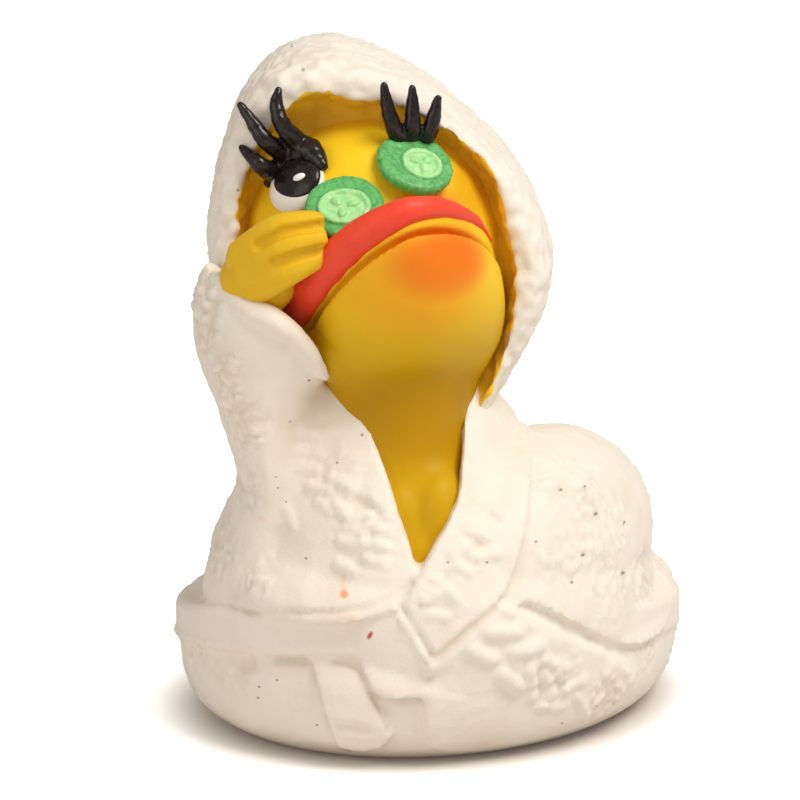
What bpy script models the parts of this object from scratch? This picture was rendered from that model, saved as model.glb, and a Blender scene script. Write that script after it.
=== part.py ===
"""A rubber duck in a hooded bathrobe, made as the one moulding that it is.

Sizes are in millimetres, and each shape is scaled to metres as it is made. X runs to the right of someone who
faces the duck, Y runs away from them and Z runs up. The forms are set out about a point under the neck, and
the finished duck is moved so that its origin is the centre of its flat base.
"""

import math

import bmesh
import bpy
from mathutils import Matrix, Vector

MM = 0.001

# Body under the belt. It is an egg seen from above, turned so that its tail end points away and to the right.
BODY_HALF_LENGTH = 41.8
BODY_HALF_WIDTH = 34.9
BODY_CENTRE = Vector((0.1, 8.0, 0.0))
BODY_TURN = 25.0
SKIRT_HEIGHT = 18.5
# Each row is a height and a width, as shares of the skirt's height and of the body's half sizes.
SKIRT_PROFILE = (
    (0.0, 0.815),
    (0.05, 0.87),
    (0.19, 0.955),
    (0.43, 0.995),
    (0.7, 1.0),
    (0.89, 0.96),
    (1.0, 0.87),
)

# The upper robe and the wing are set out round a body of these half sizes, and follow the body's own.
SET_OUT_HALF_LENGTH = 41.8
SET_OUT_HALF_WIDTH = 34.9

# Upper robe. Each row is a height, the centre's x and y, and the half sizes along x and y.
TORSO_ROWS = (
    (12.0, 0.0, 6.5, 31.0, 38.5),
    (18.0, -0.5, 6.0, 32.0, 39.0),
    (24.0, -1.0, 5.0, 30.6, 37.6),
    (30.0, -2.0, 3.5, 27.0, 34.0),
    (36.0, -3.6, 0.5, 22.8, 28.4),
    (41.0, -5.6, -2.5, 18.6, 22.4),
    (46.0, -7.0, -4.0, 15.0, 17.4),
    (51.4, -7.4, -4.0, 12.8, 13.6),
)
# The front bags out over the belt. Each row is a height, a share of the body, and the shift in x and y.
BAG_ROWS = (
    (17.0, 0.9, 1.6, -6.0),
    (20.5, 0.93, 1.6, -6.2),
    (23.5, 0.925, 1.4, -5.8),
    (27.0, 0.87, 0.8, -5.0),
    (31.0, 0.77, 0.0, -4.5),
    (36.0, 0.64, -1.0, -4.0),
)
SHOULDER_CENTRE = Vector((3.0, 2.0, 38.0))
SHOULDER_HALF = Vector((10.5, 12.0, 11.0))
ROBE_WALL = 1.6
LAPEL_WALL = 2.6
SHORT_STRAP_WALL = 2.1
LONG_STRAP_WALL = 1.4
WING_WALL = 1.2
FLAP_WALL = 2.0
FLAP_FADE = 0.6
# A cut made from a front outline starts at this depth, and a panel of the robe ends at its back depth.
CUT_NEAR = -60.0
CUT_FAR = 60.0
PANEL_BACK = -4.3
NECK_CUT_BACK = -17.7

# The robe's open front, in x and z: its left edge runs down and its right edge runs up.
OPEN_LEFT_EDGE = ((-15.0, 57.6), (-12.6, 53.6), (-9.6, 47.8), (-7.4, 42.9), (-5.4, 36.6), (-3.2, 31.2))
OPEN_POINT = (-1.8, 27.8)
OPEN_RIGHT_EDGE = ((0.4, 31.0), (3.7, 37.2), (4.8, 43.9), (6.0, 51.8))
OPEN_TOP = ((8.4, 57.0), (8.0, 62.0), (-16.3, 62.0))
EDGE_OVERHANG = 0.4
# The rest of each panel's outline in x and z: below the open edge, and away from it.
LEFT_PANEL_TOP = (-18.4, 55.5)
LEFT_PANEL_HEM = ((-2.2, 27.0), (-3.6, 24.8), (-7.8, 22.9), (-12.6, 21.6), (-18.7, 20.9), (-25.0, 20.4))
LEFT_PANEL_SIDE = ((-29.0, 22.5), (-28.0, 30.0), (-26.2, 38.0), (-24.0, 48.0))
LAPEL_SIDE = ((9.3, 49.6), (13.4, 45.0), (13.4, 36.2), (11.0, 27.1), (6.9, 21.6), (4.1, 17.9))
LAPEL_TIP = ((0.4, 15.6), (-4.0, 21.9), (-2.4, 26.6))

# Belt, a flat band round the body that rises over the chest.
BELT_WIDTH = 5.8
BELT_HEIGHT = 10.8
BELT_RISE = 9.0
BELT_STANDS_OUT = 0.6
BELT_ROUNDING = 0.7
SHORT_STRAP = (
    (-9.6, 22.0),
    (-5.0, 23.4),
    (-2.1, 19.3),
    (1.0, 14.4),
    (0.6, 12.0),
    (-3.1, 11.2),
    (-7.0, 11.5),
    (-9.6, 15.0),
)
LONG_STRAP = (
    (-16.4, 17.0),
    (-10.6, 17.0),
    (-8.4, 11.6),
    (-5.6, 6.2),
    (-6.6, 3.6),
    (-9.7, 2.5),
    (-12.6, 3.4),
    (-14.4, 7.9),
    (-15.6, 12.0),
)

# Folded wing in its sleeve, and the tail under the robe.
WING_CENTRE = Vector((15.0, -5.0, 25.5))
WING_HALF = Vector((13.2, 26.0, 15.6))
WING_OUTLINE = (
    (10.2, 24.4),
    (13.8, 23.4),
    (19.7, 19.4),
    (24.0, 16.0),
    (28.5, 13.2),
    (34.0, 13.6),
    (38.0, 24.0),
    (34.0, 38.0),
    (22.0, 46.0),
    (9.6, 45.6),
    (6.5, 34.0),
)
# The robe's lower front laps over the belt at the right, up to this edge.
FLAP_OUTLINE = (
    (8.4, 24.2),
    (13.7, 21.2),
    (18.0, 18.3),
    (22.0, 15.6),
    (25.6, 12.7),
    (28.6, 9.0),
    (27.0, 4.0),
    (16.0, 1.6),
    (2.0, 1.6),
    (-1.0, 10.0),
    (2.0, 20.0),
)
TAIL_REACH = 35.0
TAIL_HEIGHT = 22.0
TAIL_HALF = Vector((8.5, 13.0, 8.0))
TAIL_PITCH = 24.0

# Raised sleeve. Each row is the centre, the half width, how far the ring tips, and the half depth.
SLEEVE_ROWS = (
    ((-21.9, -6.0, 17.4), 10.2, 0.0, 16.0),
    ((-22.1, -6.6, 21.0), 10.3, 0.0, 16.4),
    ((-22.0, -7.4, 25.0), 9.4, 0.0, 16.2),
    ((-21.6, -9.5, 31.0), 7.2, 0.0, 13.5),
    ((-21.2, -11.5, 38.0), 6.2, 2.0, 12.0),
    ((-22.6, -13.0, 45.0), 6.8, 8.0, 11.0),
    ((-24.4, -15.0, 52.5), 8.6, 21.0, 10.5),
    ((-23.9, -17.0, 58.2), 10.9, 35.0, 10.2),
    ((-22.2, -18.0, 61.2), 11.5, 41.0, 9.6),
)
CUFF_MOUTH_DEPTH = 3.5
CUFF_WALL = 2.2

# Head ball and hood.
HEAD_CENTRE = Vector((-8.3, -6.0, 69.8))
HEAD_RADIUS = 18.3
# The hood, the bill and all that lies on the face are set out round this radius, and sized with the head.
SET_OUT_RADIUS = 18.3
HOOD_OUTLINE = (
    (17.3, 66.0),
    (14.0, 77.2),
    (9.4, 83.6),
    (-0.1, 92.0),
    (-8.0, 96.2),
    (-15.4, 98.0),
    (-22.4, 95.4),
    (-27.0, 89.2),
    (-30.2, 79.6),
    (-31.3, 70.0),
    (-29.4, 60.0),
    (-24.0, 50.5),
    (-14.0, 43.5),
    (-2.0, 41.0),
    (7.0, 44.4),
    (13.4, 54.6),
)
HOOD_MIDDLE = (-7.4, 70.0)
# Each row is a depth and the hood's size there, as a share of its outline.
HOOD_ROWS = (
    (-15.6, 0.86),
    (-14.2, 0.925),
    (-11.5, 0.97),
    (-5.7, 0.995),
    (0.3, 1.0),
    (6.2, 0.98),
    (12.0, 0.915),
    (18.0, 0.8),
    (22.5, 0.63),
    (25.4, 0.43),
    (27.1, 0.22),
    (27.6, 0.06),
)
OPENING_OUTLINE = (
    (11.0, 66.4),
    (9.4, 75.0),
    (7.8, 80.6),
    (1.4, 86.6),
    (-5.4, 89.8),
    (-11.5, 90.5),
    (-15.9, 91.2),
    (-20.2, 88.2),
    (-25.0, 80.0),
    (-26.4, 70.0),
    (-24.4, 60.0),
    (-18.6, 51.0),
    (-11.0, 45.6),
    (-2.0, 44.4),
    (5.6, 47.0),
    (9.8, 57.0),
)
OPENING_ROWS = ((-20.0, 1.06), (-14.5, 1.02), (-12.4, 0.995), (-11.0, 0.94), (-10.2, 0.84), (-9.8, 0.6))

# Neck and chest. Each row is a height, the centre's x and y, and the half sizes along x and y.
NECK_ROWS = (
    (18.0, -2.0, -6.0, 10.0, 21.0),
    (28.0, -2.0, -6.0, 12.0, 22.6),
    (36.0, -3.5, -8.0, 11.5, 17.8),
    (44.0, -4.6, -10.0, 10.8, 14.0),
    (52.0, -4.7, -10.5, 11.6, 12.6),
    (60.0, -5.0, -11.0, 12.9, 12.0),
    (66.0, -5.0, -11.0, 13.0, 10.0),
)
BREAST_CENTRES = (Vector((-4.4, -21.6, 32.0)), Vector((1.0, -21.6, 33.0)))
BREAST_HALF = Vector((4.4, 6.0, 8.5))

# Bill. Its mouth line is a broad curve in a plane that tips up and leans to the left with the head.
BILL_ROOT = Vector((-3.6, -15.5, 62.0))
BILL_ACROSS = Vector((1.0, 0.28, 0.266))
BILL_PITCH = 35.4
MOUTH_HALF_WIDTH = 14.1
MOUTH_REACH = 21.9
MOUTH_SIDE_POWER = 1.15
MOUTH_TIP_POWER = 1.2
CHIN_DEPTH = 12.0
MOUTH_GAP = 1.2
UPPER_BILL_THICK = 7.0
LIP_HALF_THICK = 2.3
LIP_LIFT = 3.7
LIP_SHARE = 1.01
# The lip runs round the mouth line between these angles. It thins from its left end to its right end.
LIP_START = 184.0
LIP_SWEEP = 190.0
LIP_THINNING = 0.6
LIP_STEPS = 12
CHIN_STEPS = 8
CHIN_STEP_ANGLE = 12.0
CHIN_FULLNESS = 0.8
CHIN_SETBACK = 0.9

# Eye, lid, lashes and cucumber slices, by longitude and latitude on the head ball.
EYE_PLACE = (-40.6, 33.0)
EYE_HALF = Vector((4.5, 4.2, 1.6))
PUPIL_HALF = Vector((3.9, 2.9, 1.3))
WHITE_SIDES = (24, 10)
PUPIL_OFFSET = Vector((0.2, 1.2, 0.7))
# Each lid is a bar over its eye. A point is a longitude, a latitude, a lift and the bar's half width.
BARE_LID = ((-59, 30, 0.6, 0.6), (-54, 42, 0.9, 0.8), (-40, 49, 1.1, 1.2), (-27, 44, 0.9, 0.6))
COVERED_LID = ((18, 58, 0.5, 0.6), (32, 61, 0.8, 0.8), (46, 58, 0.5, 0.6))
# Each lash has its root on the head ball, as longitude, latitude and lift, and then three places.
LASHES = (
    ((-44, 49, 0.6), (-20.3, -17.0, 88.2), (-21.4, -16.6, 91.0), (-20.8, -16.2, 93.4)),
    ((-54, 46, 0.4), (-22.6, -16.8, 86.4), (-24.4, -16.2, 88.8), (-26.4, -15.4, 91.6)),
    ((-60, 36, 0.3), (-23.4, -17.4, 82.6), (-25.2, -16.8, 84.0), (-27.2, -16.0, 85.6)),
    ((24, 57, 0.6), (-5.0, -17.0, 87.0), (-6.0, -17.2, 90.2), (-6.5, -17.4, 93.2)),
    ((33, 57, 0.6), (-2.6, -16.6, 87.2), (-2.6, -16.9, 90.0), (-2.6, -17.1, 92.8)),
    ((42, 56, 0.6), (-0.3, -16.0, 86.6), (0.4, -16.4, 89.0), (0.9, -16.8, 91.4)),
)
LASH_HALF_THICKS = (0.9, 0.8, 0.65, 0.35)
SLICE_RADIUS = 5.4
SLICE_THICK = 1.6
SLICE_EDGE = 0.35
SLICE_CORE_RADIUS = 3.0
SLICE_CORE_STANDS_OUT = 0.35
# Each slice has its place on the head ball, as longitude, latitude and lift, and the way that it faces.
HELD_SLICE = ((-11.1, 22.4, 1.6), Vector((-0.05, -0.63, 0.76)))
LYING_SLICE = ((24.9, 41.9, 0.8), Vector((0.28, -0.55, 0.79)))

# Feather fingers of the raised wing. Each runs from the palm to its tip, with the half width at both.
FINGERS = (
    ((-25.8, -24.5, 70.6), (-20.6, -28.0, 75.2), (-15.6, -28.2, 76.2), 2.5, 1.5),
    ((-25.0, -25.5, 68.6), (-20.2, -29.0, 72.6), (-15.2, -29.0, 74.0), 2.5, 1.5),
    ((-24.0, -25.5, 66.6), (-19.6, -28.6, 69.6), (-15.4, -28.2, 71.4), 2.6, 1.7),
)
PALM_CENTRE = Vector((-23.6, -22.5, 67.2))
PALM_HALF = Vector((5.6, 5.0, 5.2))
PALM_TIP = -38.0

ROBE_WHITE = (0.93, 0.91, 0.86, 1.0)
ROBE_ROUGHNESS = 0.55
SHARPEST_SMOOTH_ANGLE = 35.0
WELD = 0.001


def clear_scene():
    """Removes every object that the file starts with."""
    for obj in list(bpy.data.objects):
        bpy.data.objects.remove(obj)


def keep_mesh(name, mesh):
    """Makes an object of a bmesh, with its faces pointing out and its size in metres."""
    bmesh.ops.recalc_face_normals(mesh, faces=mesh.faces)
    data = bpy.data.meshes.new(name)
    mesh.to_mesh(data)
    mesh.free()
    data.transform(Matrix.Scale(MM, 4))
    obj = bpy.data.objects.new(name, data)
    bpy.context.scene.collection.objects.link(obj)
    return obj


def smooth_rows(rows, steps):
    """Rows of numbers, with steps - 1 more between each two, on a curve that passes through all of them."""
    rows = [Vector(row) for row in rows]
    found = []
    for i in range(len(rows) - 1):
        before = rows[max(i - 1, 0)]
        start, end = rows[i], rows[i + 1]
        after = rows[min(i + 2, len(rows) - 1)]
        for step in range(steps):
            t = step / steps
            found.append(
                start
                + (end - before) * (0.5 * t)
                + (before * 2 - start * 5 + end * 4 - after) * (0.5 * t * t)
                + (start * 3 - before - end * 3 + after) * (0.5 * t**3)
            )
    found.append(rows[-1])
    return found


def closed_loop(outline, steps):
    """Points on a smooth closed curve through the outline, steps for each of its points."""
    count = len(outline)
    ring = [outline[i % count] for i in range(-1, count + 2)]
    return smooth_rows(ring, steps)[steps:-steps - 1]


def ellipse(centre, across, along, sides):
    """The points of an elliptical ring, from its centre and two half axes."""
    turns = (2 * math.pi * i / sides for i in range(sides))
    return [centre + across * math.cos(turn) + along * math.sin(turn) for turn in turns]


def loft(name, loops):
    """A closed body through rings that have as many points each."""
    mesh = bmesh.new()
    rings = [[mesh.verts.new(point) for point in loop] for loop in loops]
    sides = len(rings[0])
    for first, second in zip(rings, rings[1:]):
        for i in range(sides):
            j = (i + 1) % sides
            mesh.faces.new((first[i], first[j], second[j], second[i]))
    mesh.faces.new(rings[0])
    mesh.faces.new(rings[-1])
    return keep_mesh(name, mesh)


def level_loft(name, rows, sides, steps=1, grow=0.0):
    """A loft through level rings, whose rows hold a height, the centre's x and y, and the two half sizes."""
    loops = []
    for z, x, y, half_x, half_y in smooth_rows(rows, steps):
        across, along = Vector((half_x + grow, 0, 0)), Vector((0, half_y + grow, 0))
        loops.append(ellipse(Vector((x, y, z)), across, along, sides))
    return loft(name, loops)


def ball(name, centre, half, turn=None, segments=24, rings=12):
    """An ellipsoid with its half sizes along the axes of the matrix turn."""
    mesh = bmesh.new()
    bmesh.ops.create_uvsphere(mesh, u_segments=segments, v_segments=rings, radius=1.0)
    sized = Matrix.Diagonal(half).to_4x4()
    turned = turn.to_4x4() if turn else Matrix.Identity(4)
    bmesh.ops.transform(mesh, matrix=Matrix.Translation(centre) @ turned @ sized, verts=mesh.verts)
    return keep_mesh(name, mesh)


def mesh_of_curve(name, curve):
    """The mesh that a curve makes, with its caps welded on."""
    obj = bpy.data.objects.new(name, curve)
    bpy.context.scene.collection.objects.link(obj)
    bpy.context.view_layer.update()
    graph = bpy.context.evaluated_depsgraph_get()
    data = bpy.data.meshes.new_from_object(obj.evaluated_get(graph))
    bpy.data.objects.remove(obj)
    mesh = bmesh.new()
    mesh.from_mesh(data)
    bpy.data.meshes.remove(data)
    bmesh.ops.remove_doubles(mesh, verts=mesh.verts, dist=WELD)
    return mesh


def tube(name, points, half_thicks, sides=3, steps=3):
    """A round bar that tapers from point to point, with closed ends."""
    rows = [(*point, half) for point, half in zip(points, half_thicks)]
    curve = bpy.data.curves.new(name, "CURVE")
    curve.dimensions = "3D"
    curve.bevel_depth = 1.0
    curve.bevel_resolution = sides - 1
    curve.use_fill_caps = True
    spline = curve.splines.new("POLY")
    path = smooth_rows(rows, steps)
    spline.points.add(len(path) - 1)
    for point, (x, y, z, half) in zip(spline.points, path):
        point.co = (x, y, z, 1.0)
        point.radius = half
    return keep_mesh(name, mesh_of_curve(name, curve))


def slab(name, outline, near, far):
    """A smooth outline in x and z, drawn through its points and carried from depth near to depth far."""
    curve = bpy.data.curves.new(name, "CURVE")
    curve.dimensions = "2D"
    curve.fill_mode = "BOTH"
    curve.resolution_u = 3
    curve.extrude = (far - near) / 2
    spline = curve.splines.new("BEZIER")
    spline.use_cyclic_u = True
    spline.bezier_points.add(len(outline) - 1)
    for point, (x, z) in zip(spline.bezier_points, outline):
        point.co = (x, z, 0)
        point.handle_left_type = point.handle_right_type = "AUTO"
    mesh = mesh_of_curve(name, curve)
    stand = Matrix.Translation((0, (near + far) / 2, 0)) @ Matrix.Rotation(math.radians(90), 4, "X")
    bmesh.ops.transform(mesh, matrix=stand, verts=mesh.verts)
    return keep_mesh(name, mesh)


def boolean(base, other, operation):
    """Joins, cuts or intersects base with other, which is used up."""
    modifier = base.modifiers.new(other.name, "BOOLEAN")
    modifier.operation = operation
    modifier.object = other
    bpy.context.view_layer.update()
    graph = bpy.context.evaluated_depsgraph_get()
    data = bpy.data.meshes.new_from_object(base.evaluated_get(graph))
    base.modifiers.clear()
    base.data = data
    bpy.data.objects.remove(other)
    return base


def join(base, *others):
    """Joins the others to base one by one."""
    for other in others:
        boolean(base, other, "UNION")
    return base


def body_turn():
    """The turn of the body about the vertical, which swings its tail to the right."""
    return Matrix.Rotation(math.radians(-BODY_TURN), 3, "Z")


def egg(share, height, grow, sides=44):
    """The points of a level ring round the body, at share of its size."""
    across = body_turn() @ Vector((BODY_HALF_WIDTH * share + grow, 0, 0))
    along = body_turn() @ Vector((0, BODY_HALF_LENGTH * share + grow, 0))
    return ellipse(BODY_CENTRE + Vector((0, 0, height)), across, along, sides)


def skirt(grow=0.0):
    """The robe under the belt, down to the flat base."""
    return loft("skirt", [egg(share, SKIRT_HEIGHT * level, grow) for level, share in SKIRT_PROFILE])


def torso(grow=0.0):
    """The robe over the belt, up to the shoulders."""
    wide = BODY_HALF_WIDTH / SET_OUT_HALF_WIDTH
    long = BODY_HALF_LENGTH / SET_OUT_HALF_LENGTH
    rows = [(z, x, y, half_x * wide, half_y * long) for z, x, y, half_x, half_y in TORSO_ROWS]
    return level_loft("torso", rows, 40, grow=grow)


def wing(grow=0.0):
    """The ball of the folded wing in its sleeve."""
    half = Vector(WING_HALF)
    half.x *= BODY_HALF_WIDTH / SET_OUT_HALF_WIDTH
    half.y *= BODY_HALF_LENGTH / SET_OUT_HALF_LENGTH
    return ball("wing", WING_CENTRE, half + Vector((grow, grow, grow)), body_turn(), 32, 16)


def bag():
    """The robe's front where it bags out over the belt."""
    loops = []
    for height, share, across, ahead in BAG_ROWS:
        loop = egg(share, height, 0.0, 40)
        loops.append([point + Vector((across, ahead, 0.0)) for point in loop])
    return loft("bag", loops)


def tail():
    """The tail, which lifts the robe at the back."""
    place = BODY_CENTRE + body_turn() @ Vector((0, TAIL_REACH, TAIL_HEIGHT))
    turn = body_turn() @ Matrix.Rotation(math.radians(TAIL_PITCH), 3, "X")
    return ball("tail", place, TAIL_HALF, turn, 20, 10)


def belt():
    """A band that stands proud of the skirt and of the robe above it."""
    half = BELT_WIDTH / 2
    flat = half - BELT_ROUNDING
    loops = []
    for level, inset in ((-half, BELT_ROUNDING), (-flat, 0.0), (flat, 0.0), (half, BELT_ROUNDING)):
        loop = egg(1.0, BELT_HEIGHT + level, BELT_STANDS_OUT - inset)
        for point in loop:
            ahead = (BODY_CENTRE.y - point.y) / BODY_HALF_LENGTH
            point.z += BELT_RISE * ((1 + ahead) / 2) ** 2
        loops.append(loop)
    return loft("belt", loops)


def draped(name, outline, grow, far=PANEL_BACK):
    """A flat panel of the robe that lies on the body, grow thick, inside the outline."""
    panel = join(torso(grow), skirt(grow), wing(grow))
    return boolean(panel, slab(name, outline, CUT_NEAR, far), "INTERSECT")


def folded_wing():
    """The folded wing with the robe on it, which ends in a step along its lower edge."""
    return draped("folded_wing", WING_OUTLINE, WING_WALL, CUT_FAR)


def flap():
    """The robe's lower front, which laps over the belt at the right and thins out towards the base."""
    loops = []
    for level, share in SKIRT_PROFILE:
        loops.append(egg(share, SKIRT_HEIGHT * level, FLAP_WALL * min(1.0, level / FLAP_FADE)))
    front = join(torso(FLAP_WALL), loft("skirt", loops))
    return boolean(front, slab("flap", FLAP_OUTLINE, CUT_NEAR, PANEL_BACK), "INTERSECT")


def neck_cut():
    """The open front of the robe, from the cuff down to the point over the belt."""
    outline = (*OPEN_LEFT_EDGE, OPEN_POINT, *OPEN_RIGHT_EDGE, *OPEN_TOP)
    return slab("neck_cut", outline, CUT_NEAR, NECK_CUT_BACK)


def shifted(points, across):
    """The points moved across the open front, so that a panel's edge overhangs the neck cut."""
    return tuple((x + across, z) for x, z in points)


def left_panel():
    """The front of the robe at the left, which bags out over the belt."""
    edge = shifted(OPEN_LEFT_EDGE, EDGE_OVERHANG)
    outline = (LEFT_PANEL_TOP, *edge, *LEFT_PANEL_HEM, *LEFT_PANEL_SIDE)
    front = join(torso(ROBE_WALL), bag())
    return boolean(front, slab("left_panel", outline, CUT_NEAR, PANEL_BACK), "INTERSECT")


def lapel():
    """The broad turned-back collar at the right, down to its tip over the belt."""
    outline = (*LAPEL_SIDE, *LAPEL_TIP, *shifted(OPEN_RIGHT_EDGE, -EDGE_OVERHANG))
    return draped("lapel", outline, LAPEL_WALL)


def straps():
    """The two ends of the belt, which hang from its knot."""
    short = draped("short_strap", SHORT_STRAP, SHORT_STRAP_WALL)
    return short, draped("long_strap", LONG_STRAP, LONG_STRAP_WALL)


def shoulder():
    """The robe's shoulder over the folded wing, under the hood."""
    return ball("shoulder", SHOULDER_CENTRE, SHOULDER_HALF)


def sleeve():
    """The raised sleeve, from the belt to the cuff, with the cuff's mouth hollowed."""
    loops = []
    rows = [(*centre, half, tip, depth) for centre, half, tip, depth in SLEEVE_ROWS]
    for x, y, z, half, tip, depth in smooth_rows(rows, 2):
        across = Matrix.Rotation(math.radians(tip), 3, "Y") @ Vector((half, 0, 0))
        loops.append(ellipse(Vector((x, y, z)), across, Vector((0, depth, 0)), 32))
    arm = loft("sleeve", loops)
    centre, half, tip, depth = SLEEVE_ROWS[-1]
    turn = Matrix.Rotation(math.radians(tip), 3, "Y")
    inside = Vector((half - CUFF_WALL, depth - CUFF_WALL, CUFF_MOUTH_DEPTH))
    return boolean(arm, ball("cuff_mouth", Vector(centre), inside, turn), "DIFFERENCE")


def hood_loops(outline, rows):
    """Upright copies of a front outline at the rows' depths, sized about the hood's middle."""
    middle = Vector(HOOD_MIDDLE)
    loops = []
    for depth, share in rows:
        loop = []
        for point in closed_loop(outline, 3):
            x, z = middle + (point - middle) * share
            loop.append(Vector((x, depth, z)))
        loops.append(loop)
    return loops


def sized_with_head(*forms):
    """The forms, sized about the middle of the head with its radius."""
    centre = HEAD_CENTRE * MM
    sized = Matrix.Scale(HEAD_RADIUS / SET_OUT_RADIUS, 4)
    for form in forms:
        form.data.transform(Matrix.Translation(centre) @ sized @ Matrix.Translation(-centre))
    return forms


def hood():
    """The hood, a deep shell whose opening holds the head."""
    shell = loft("hood", hood_loops(HOOD_OUTLINE, HOOD_ROWS))
    opening = loft("opening", hood_loops(OPENING_OUTLINE, OPENING_ROWS))
    return boolean(shell, opening, "DIFFERENCE")


def chest():
    """The neck and chest that show in the open front, with a groove between two swellings."""
    neck = level_loft("neck", NECK_ROWS, 32, steps=2)
    for centre in BREAST_CENTRES:
        join(neck, ball("breast", centre, BREAST_HALF, segments=16, rings=10))
    return neck


def bill_axes():
    """Unit vectors across the bill, forward along it, and up out of its mouth plane."""
    across = BILL_ACROSS.normalized()
    pitch = math.radians(BILL_PITCH)
    forward = Vector((0, -math.cos(pitch), math.sin(pitch)))
    forward = (forward - across * forward.dot(across)).normalized()
    return across, forward, forward.cross(across)


def mouth_point(angle, share, lift, back=0.0):
    """A point of the bill's broad outline, at share of its size, lifted out of the mouth plane."""
    across, forward, up = bill_axes()
    side = math.copysign(abs(math.cos(angle)) ** MOUTH_SIDE_POWER, math.cos(angle))
    ahead = math.copysign(abs(math.sin(angle)) ** MOUTH_TIP_POWER, math.sin(angle))
    place = BILL_ROOT + across * (MOUTH_HALF_WIDTH * share * side)
    return place + forward * (MOUTH_REACH * share * ahead - back) + up * lift


def bill_loft(name, rows, sides=36):
    """A closed body through copies of the bill's outline, whose rows hold size, lift and setback."""
    angles = [2 * math.pi * (i + 0.5) / sides for i in range(sides)]
    return loft(name, [[mouth_point(a, *row) for a in angles] for row in rows])


def chin():
    """The lower bill, full and round beneath, with a crisp edge at the mouth."""
    rows = []
    for step in range(CHIN_STEPS):
        angle = math.radians(step * CHIN_STEP_ANGLE)
        share = math.cos(angle) ** CHIN_FULLNESS
        rows.append((share, -CHIN_DEPTH * math.sin(angle), CHIN_SETBACK * step))
    return bill_loft("chin", rows)


def upper_bill():
    """The upper bill, from its flat underside to the top that rises into the face."""
    rows = (
        (0.86, -0.6, 0.0),
        (0.9, MOUTH_GAP, 0.0),
        (1.0, MOUTH_GAP + 0.4, 0.0),
        (1.02, LIP_LIFT + 0.6, 0.0),
        (0.96, UPPER_BILL_THICK * 0.75, 0.4),
        (0.8, UPPER_BILL_THICK, 1.5),
    )
    return bill_loft("upper_bill", rows)


def lip():
    """The red lip, a bar round the upper bill that thins towards the right corner."""
    points = []
    halves = []
    for step in range(LIP_STEPS + 1):
        along = step / LIP_STEPS
        angle = math.radians(LIP_START - LIP_SWEEP * along)
        points.append(mouth_point(angle, LIP_SHARE, LIP_LIFT))
        halves.append(LIP_HALF_THICK * (1.05 - LIP_THINNING * along))
    halves[0] *= 0.8
    halves[-1] *= 0.5
    return tube("lip", points, halves, sides=4, steps=2)


def head_frame(longitude, latitude):
    """A matrix on the head ball: z points out, y up towards the crown and x to the right."""
    lon, lat = math.radians(longitude), math.radians(latitude)
    out = Vector((math.sin(lon) * math.cos(lat), -math.cos(lon) * math.cos(lat), math.sin(lat)))
    up = (Vector((0, 0, 1)) - out * out.z).normalized()
    axes = Matrix((up.cross(out), up, out)).transposed().to_4x4()
    return Matrix.Translation(HEAD_CENTRE + out * SET_OUT_RADIUS) @ axes


def on_head(longitude, latitude, lift=0.0):
    """A point that stands off the head ball by lift."""
    return head_frame(longitude, latitude) @ Vector((0, 0, lift))


def eye():
    """The bare eye: a white of the eye with a large pupil raised on it."""
    frame = head_frame(*EYE_PLACE)
    turn = frame.to_3x3()
    white = ball("white", frame.translation, EYE_HALF, turn, *WHITE_SIDES)
    pupil = ball("pupil", frame @ PUPIL_OFFSET, PUPIL_HALF, turn, 20, 10)
    return white, pupil


def eyelids():
    """A rolled lid over the bare eye and one over the covered eye."""
    made = []
    for name, rows in (("bare_lid", BARE_LID), ("covered_lid", COVERED_LID)):
        made.append(tube(name, [on_head(*row[:3]) for row in rows], [row[3] for row in rows]))
    return made


def lashes():
    """Three tapered lashes over each eye."""
    return [
        tube("lash", (on_head(*root), *places), LASH_HALF_THICKS, sides=2, steps=2)
        for root, *places in LASHES
    ]


def cucumber_slice(name, centre, facing):
    """A round slice with a rounded edge and a raised core. It lies square to facing."""
    out = facing.normalized()
    turn = out.to_track_quat("Z", "Y").to_matrix()
    place = Matrix.Translation(centre) @ turn.to_4x4()
    half = SLICE_THICK / 2

    def disc(radius, low, high, edge):
        loops = []
        for lift, shrink in ((low, 0.0), (high - edge, 0.0), (high, edge)):
            across = turn @ Vector((radius - shrink, 0, 0))
            along = turn @ Vector((0, radius - shrink, 0))
            loops.append(ellipse(place @ Vector((0, 0, lift)), across, along, 28))
        return loft(name, loops)

    return join(
        disc(SLICE_RADIUS, -half, half, SLICE_EDGE),
        disc(SLICE_CORE_RADIUS, 0.0, half + SLICE_CORE_STANDS_OUT, SLICE_EDGE),
    )


def slices():
    """One slice lies on the covered eye. The other tips up, pushed off by the fingers."""
    made = []
    for name, (place, facing) in (("held_slice", HELD_SLICE), ("lying_slice", LYING_SLICE)):
        made.append(cucumber_slice(name, on_head(*place), facing))
    return made


def hand():
    """The wing's feather fingers, which come out of the cuff."""
    palm = ball("palm", PALM_CENTRE, PALM_HALF, Matrix.Rotation(math.radians(PALM_TIP), 3, "Y"), 20, 12)
    for root, middle, tip, wide, narrow in FINGERS:
        halves = (wide, (wide + narrow) * 0.52, narrow)
        finger = tube("finger", (root, middle, tip), halves)
        round_end = ball("finger_end", Vector(tip), Vector((narrow,) * 3) * 1.02, None, 12, 8)
        join(palm, finger, round_end)
    return palm


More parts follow.
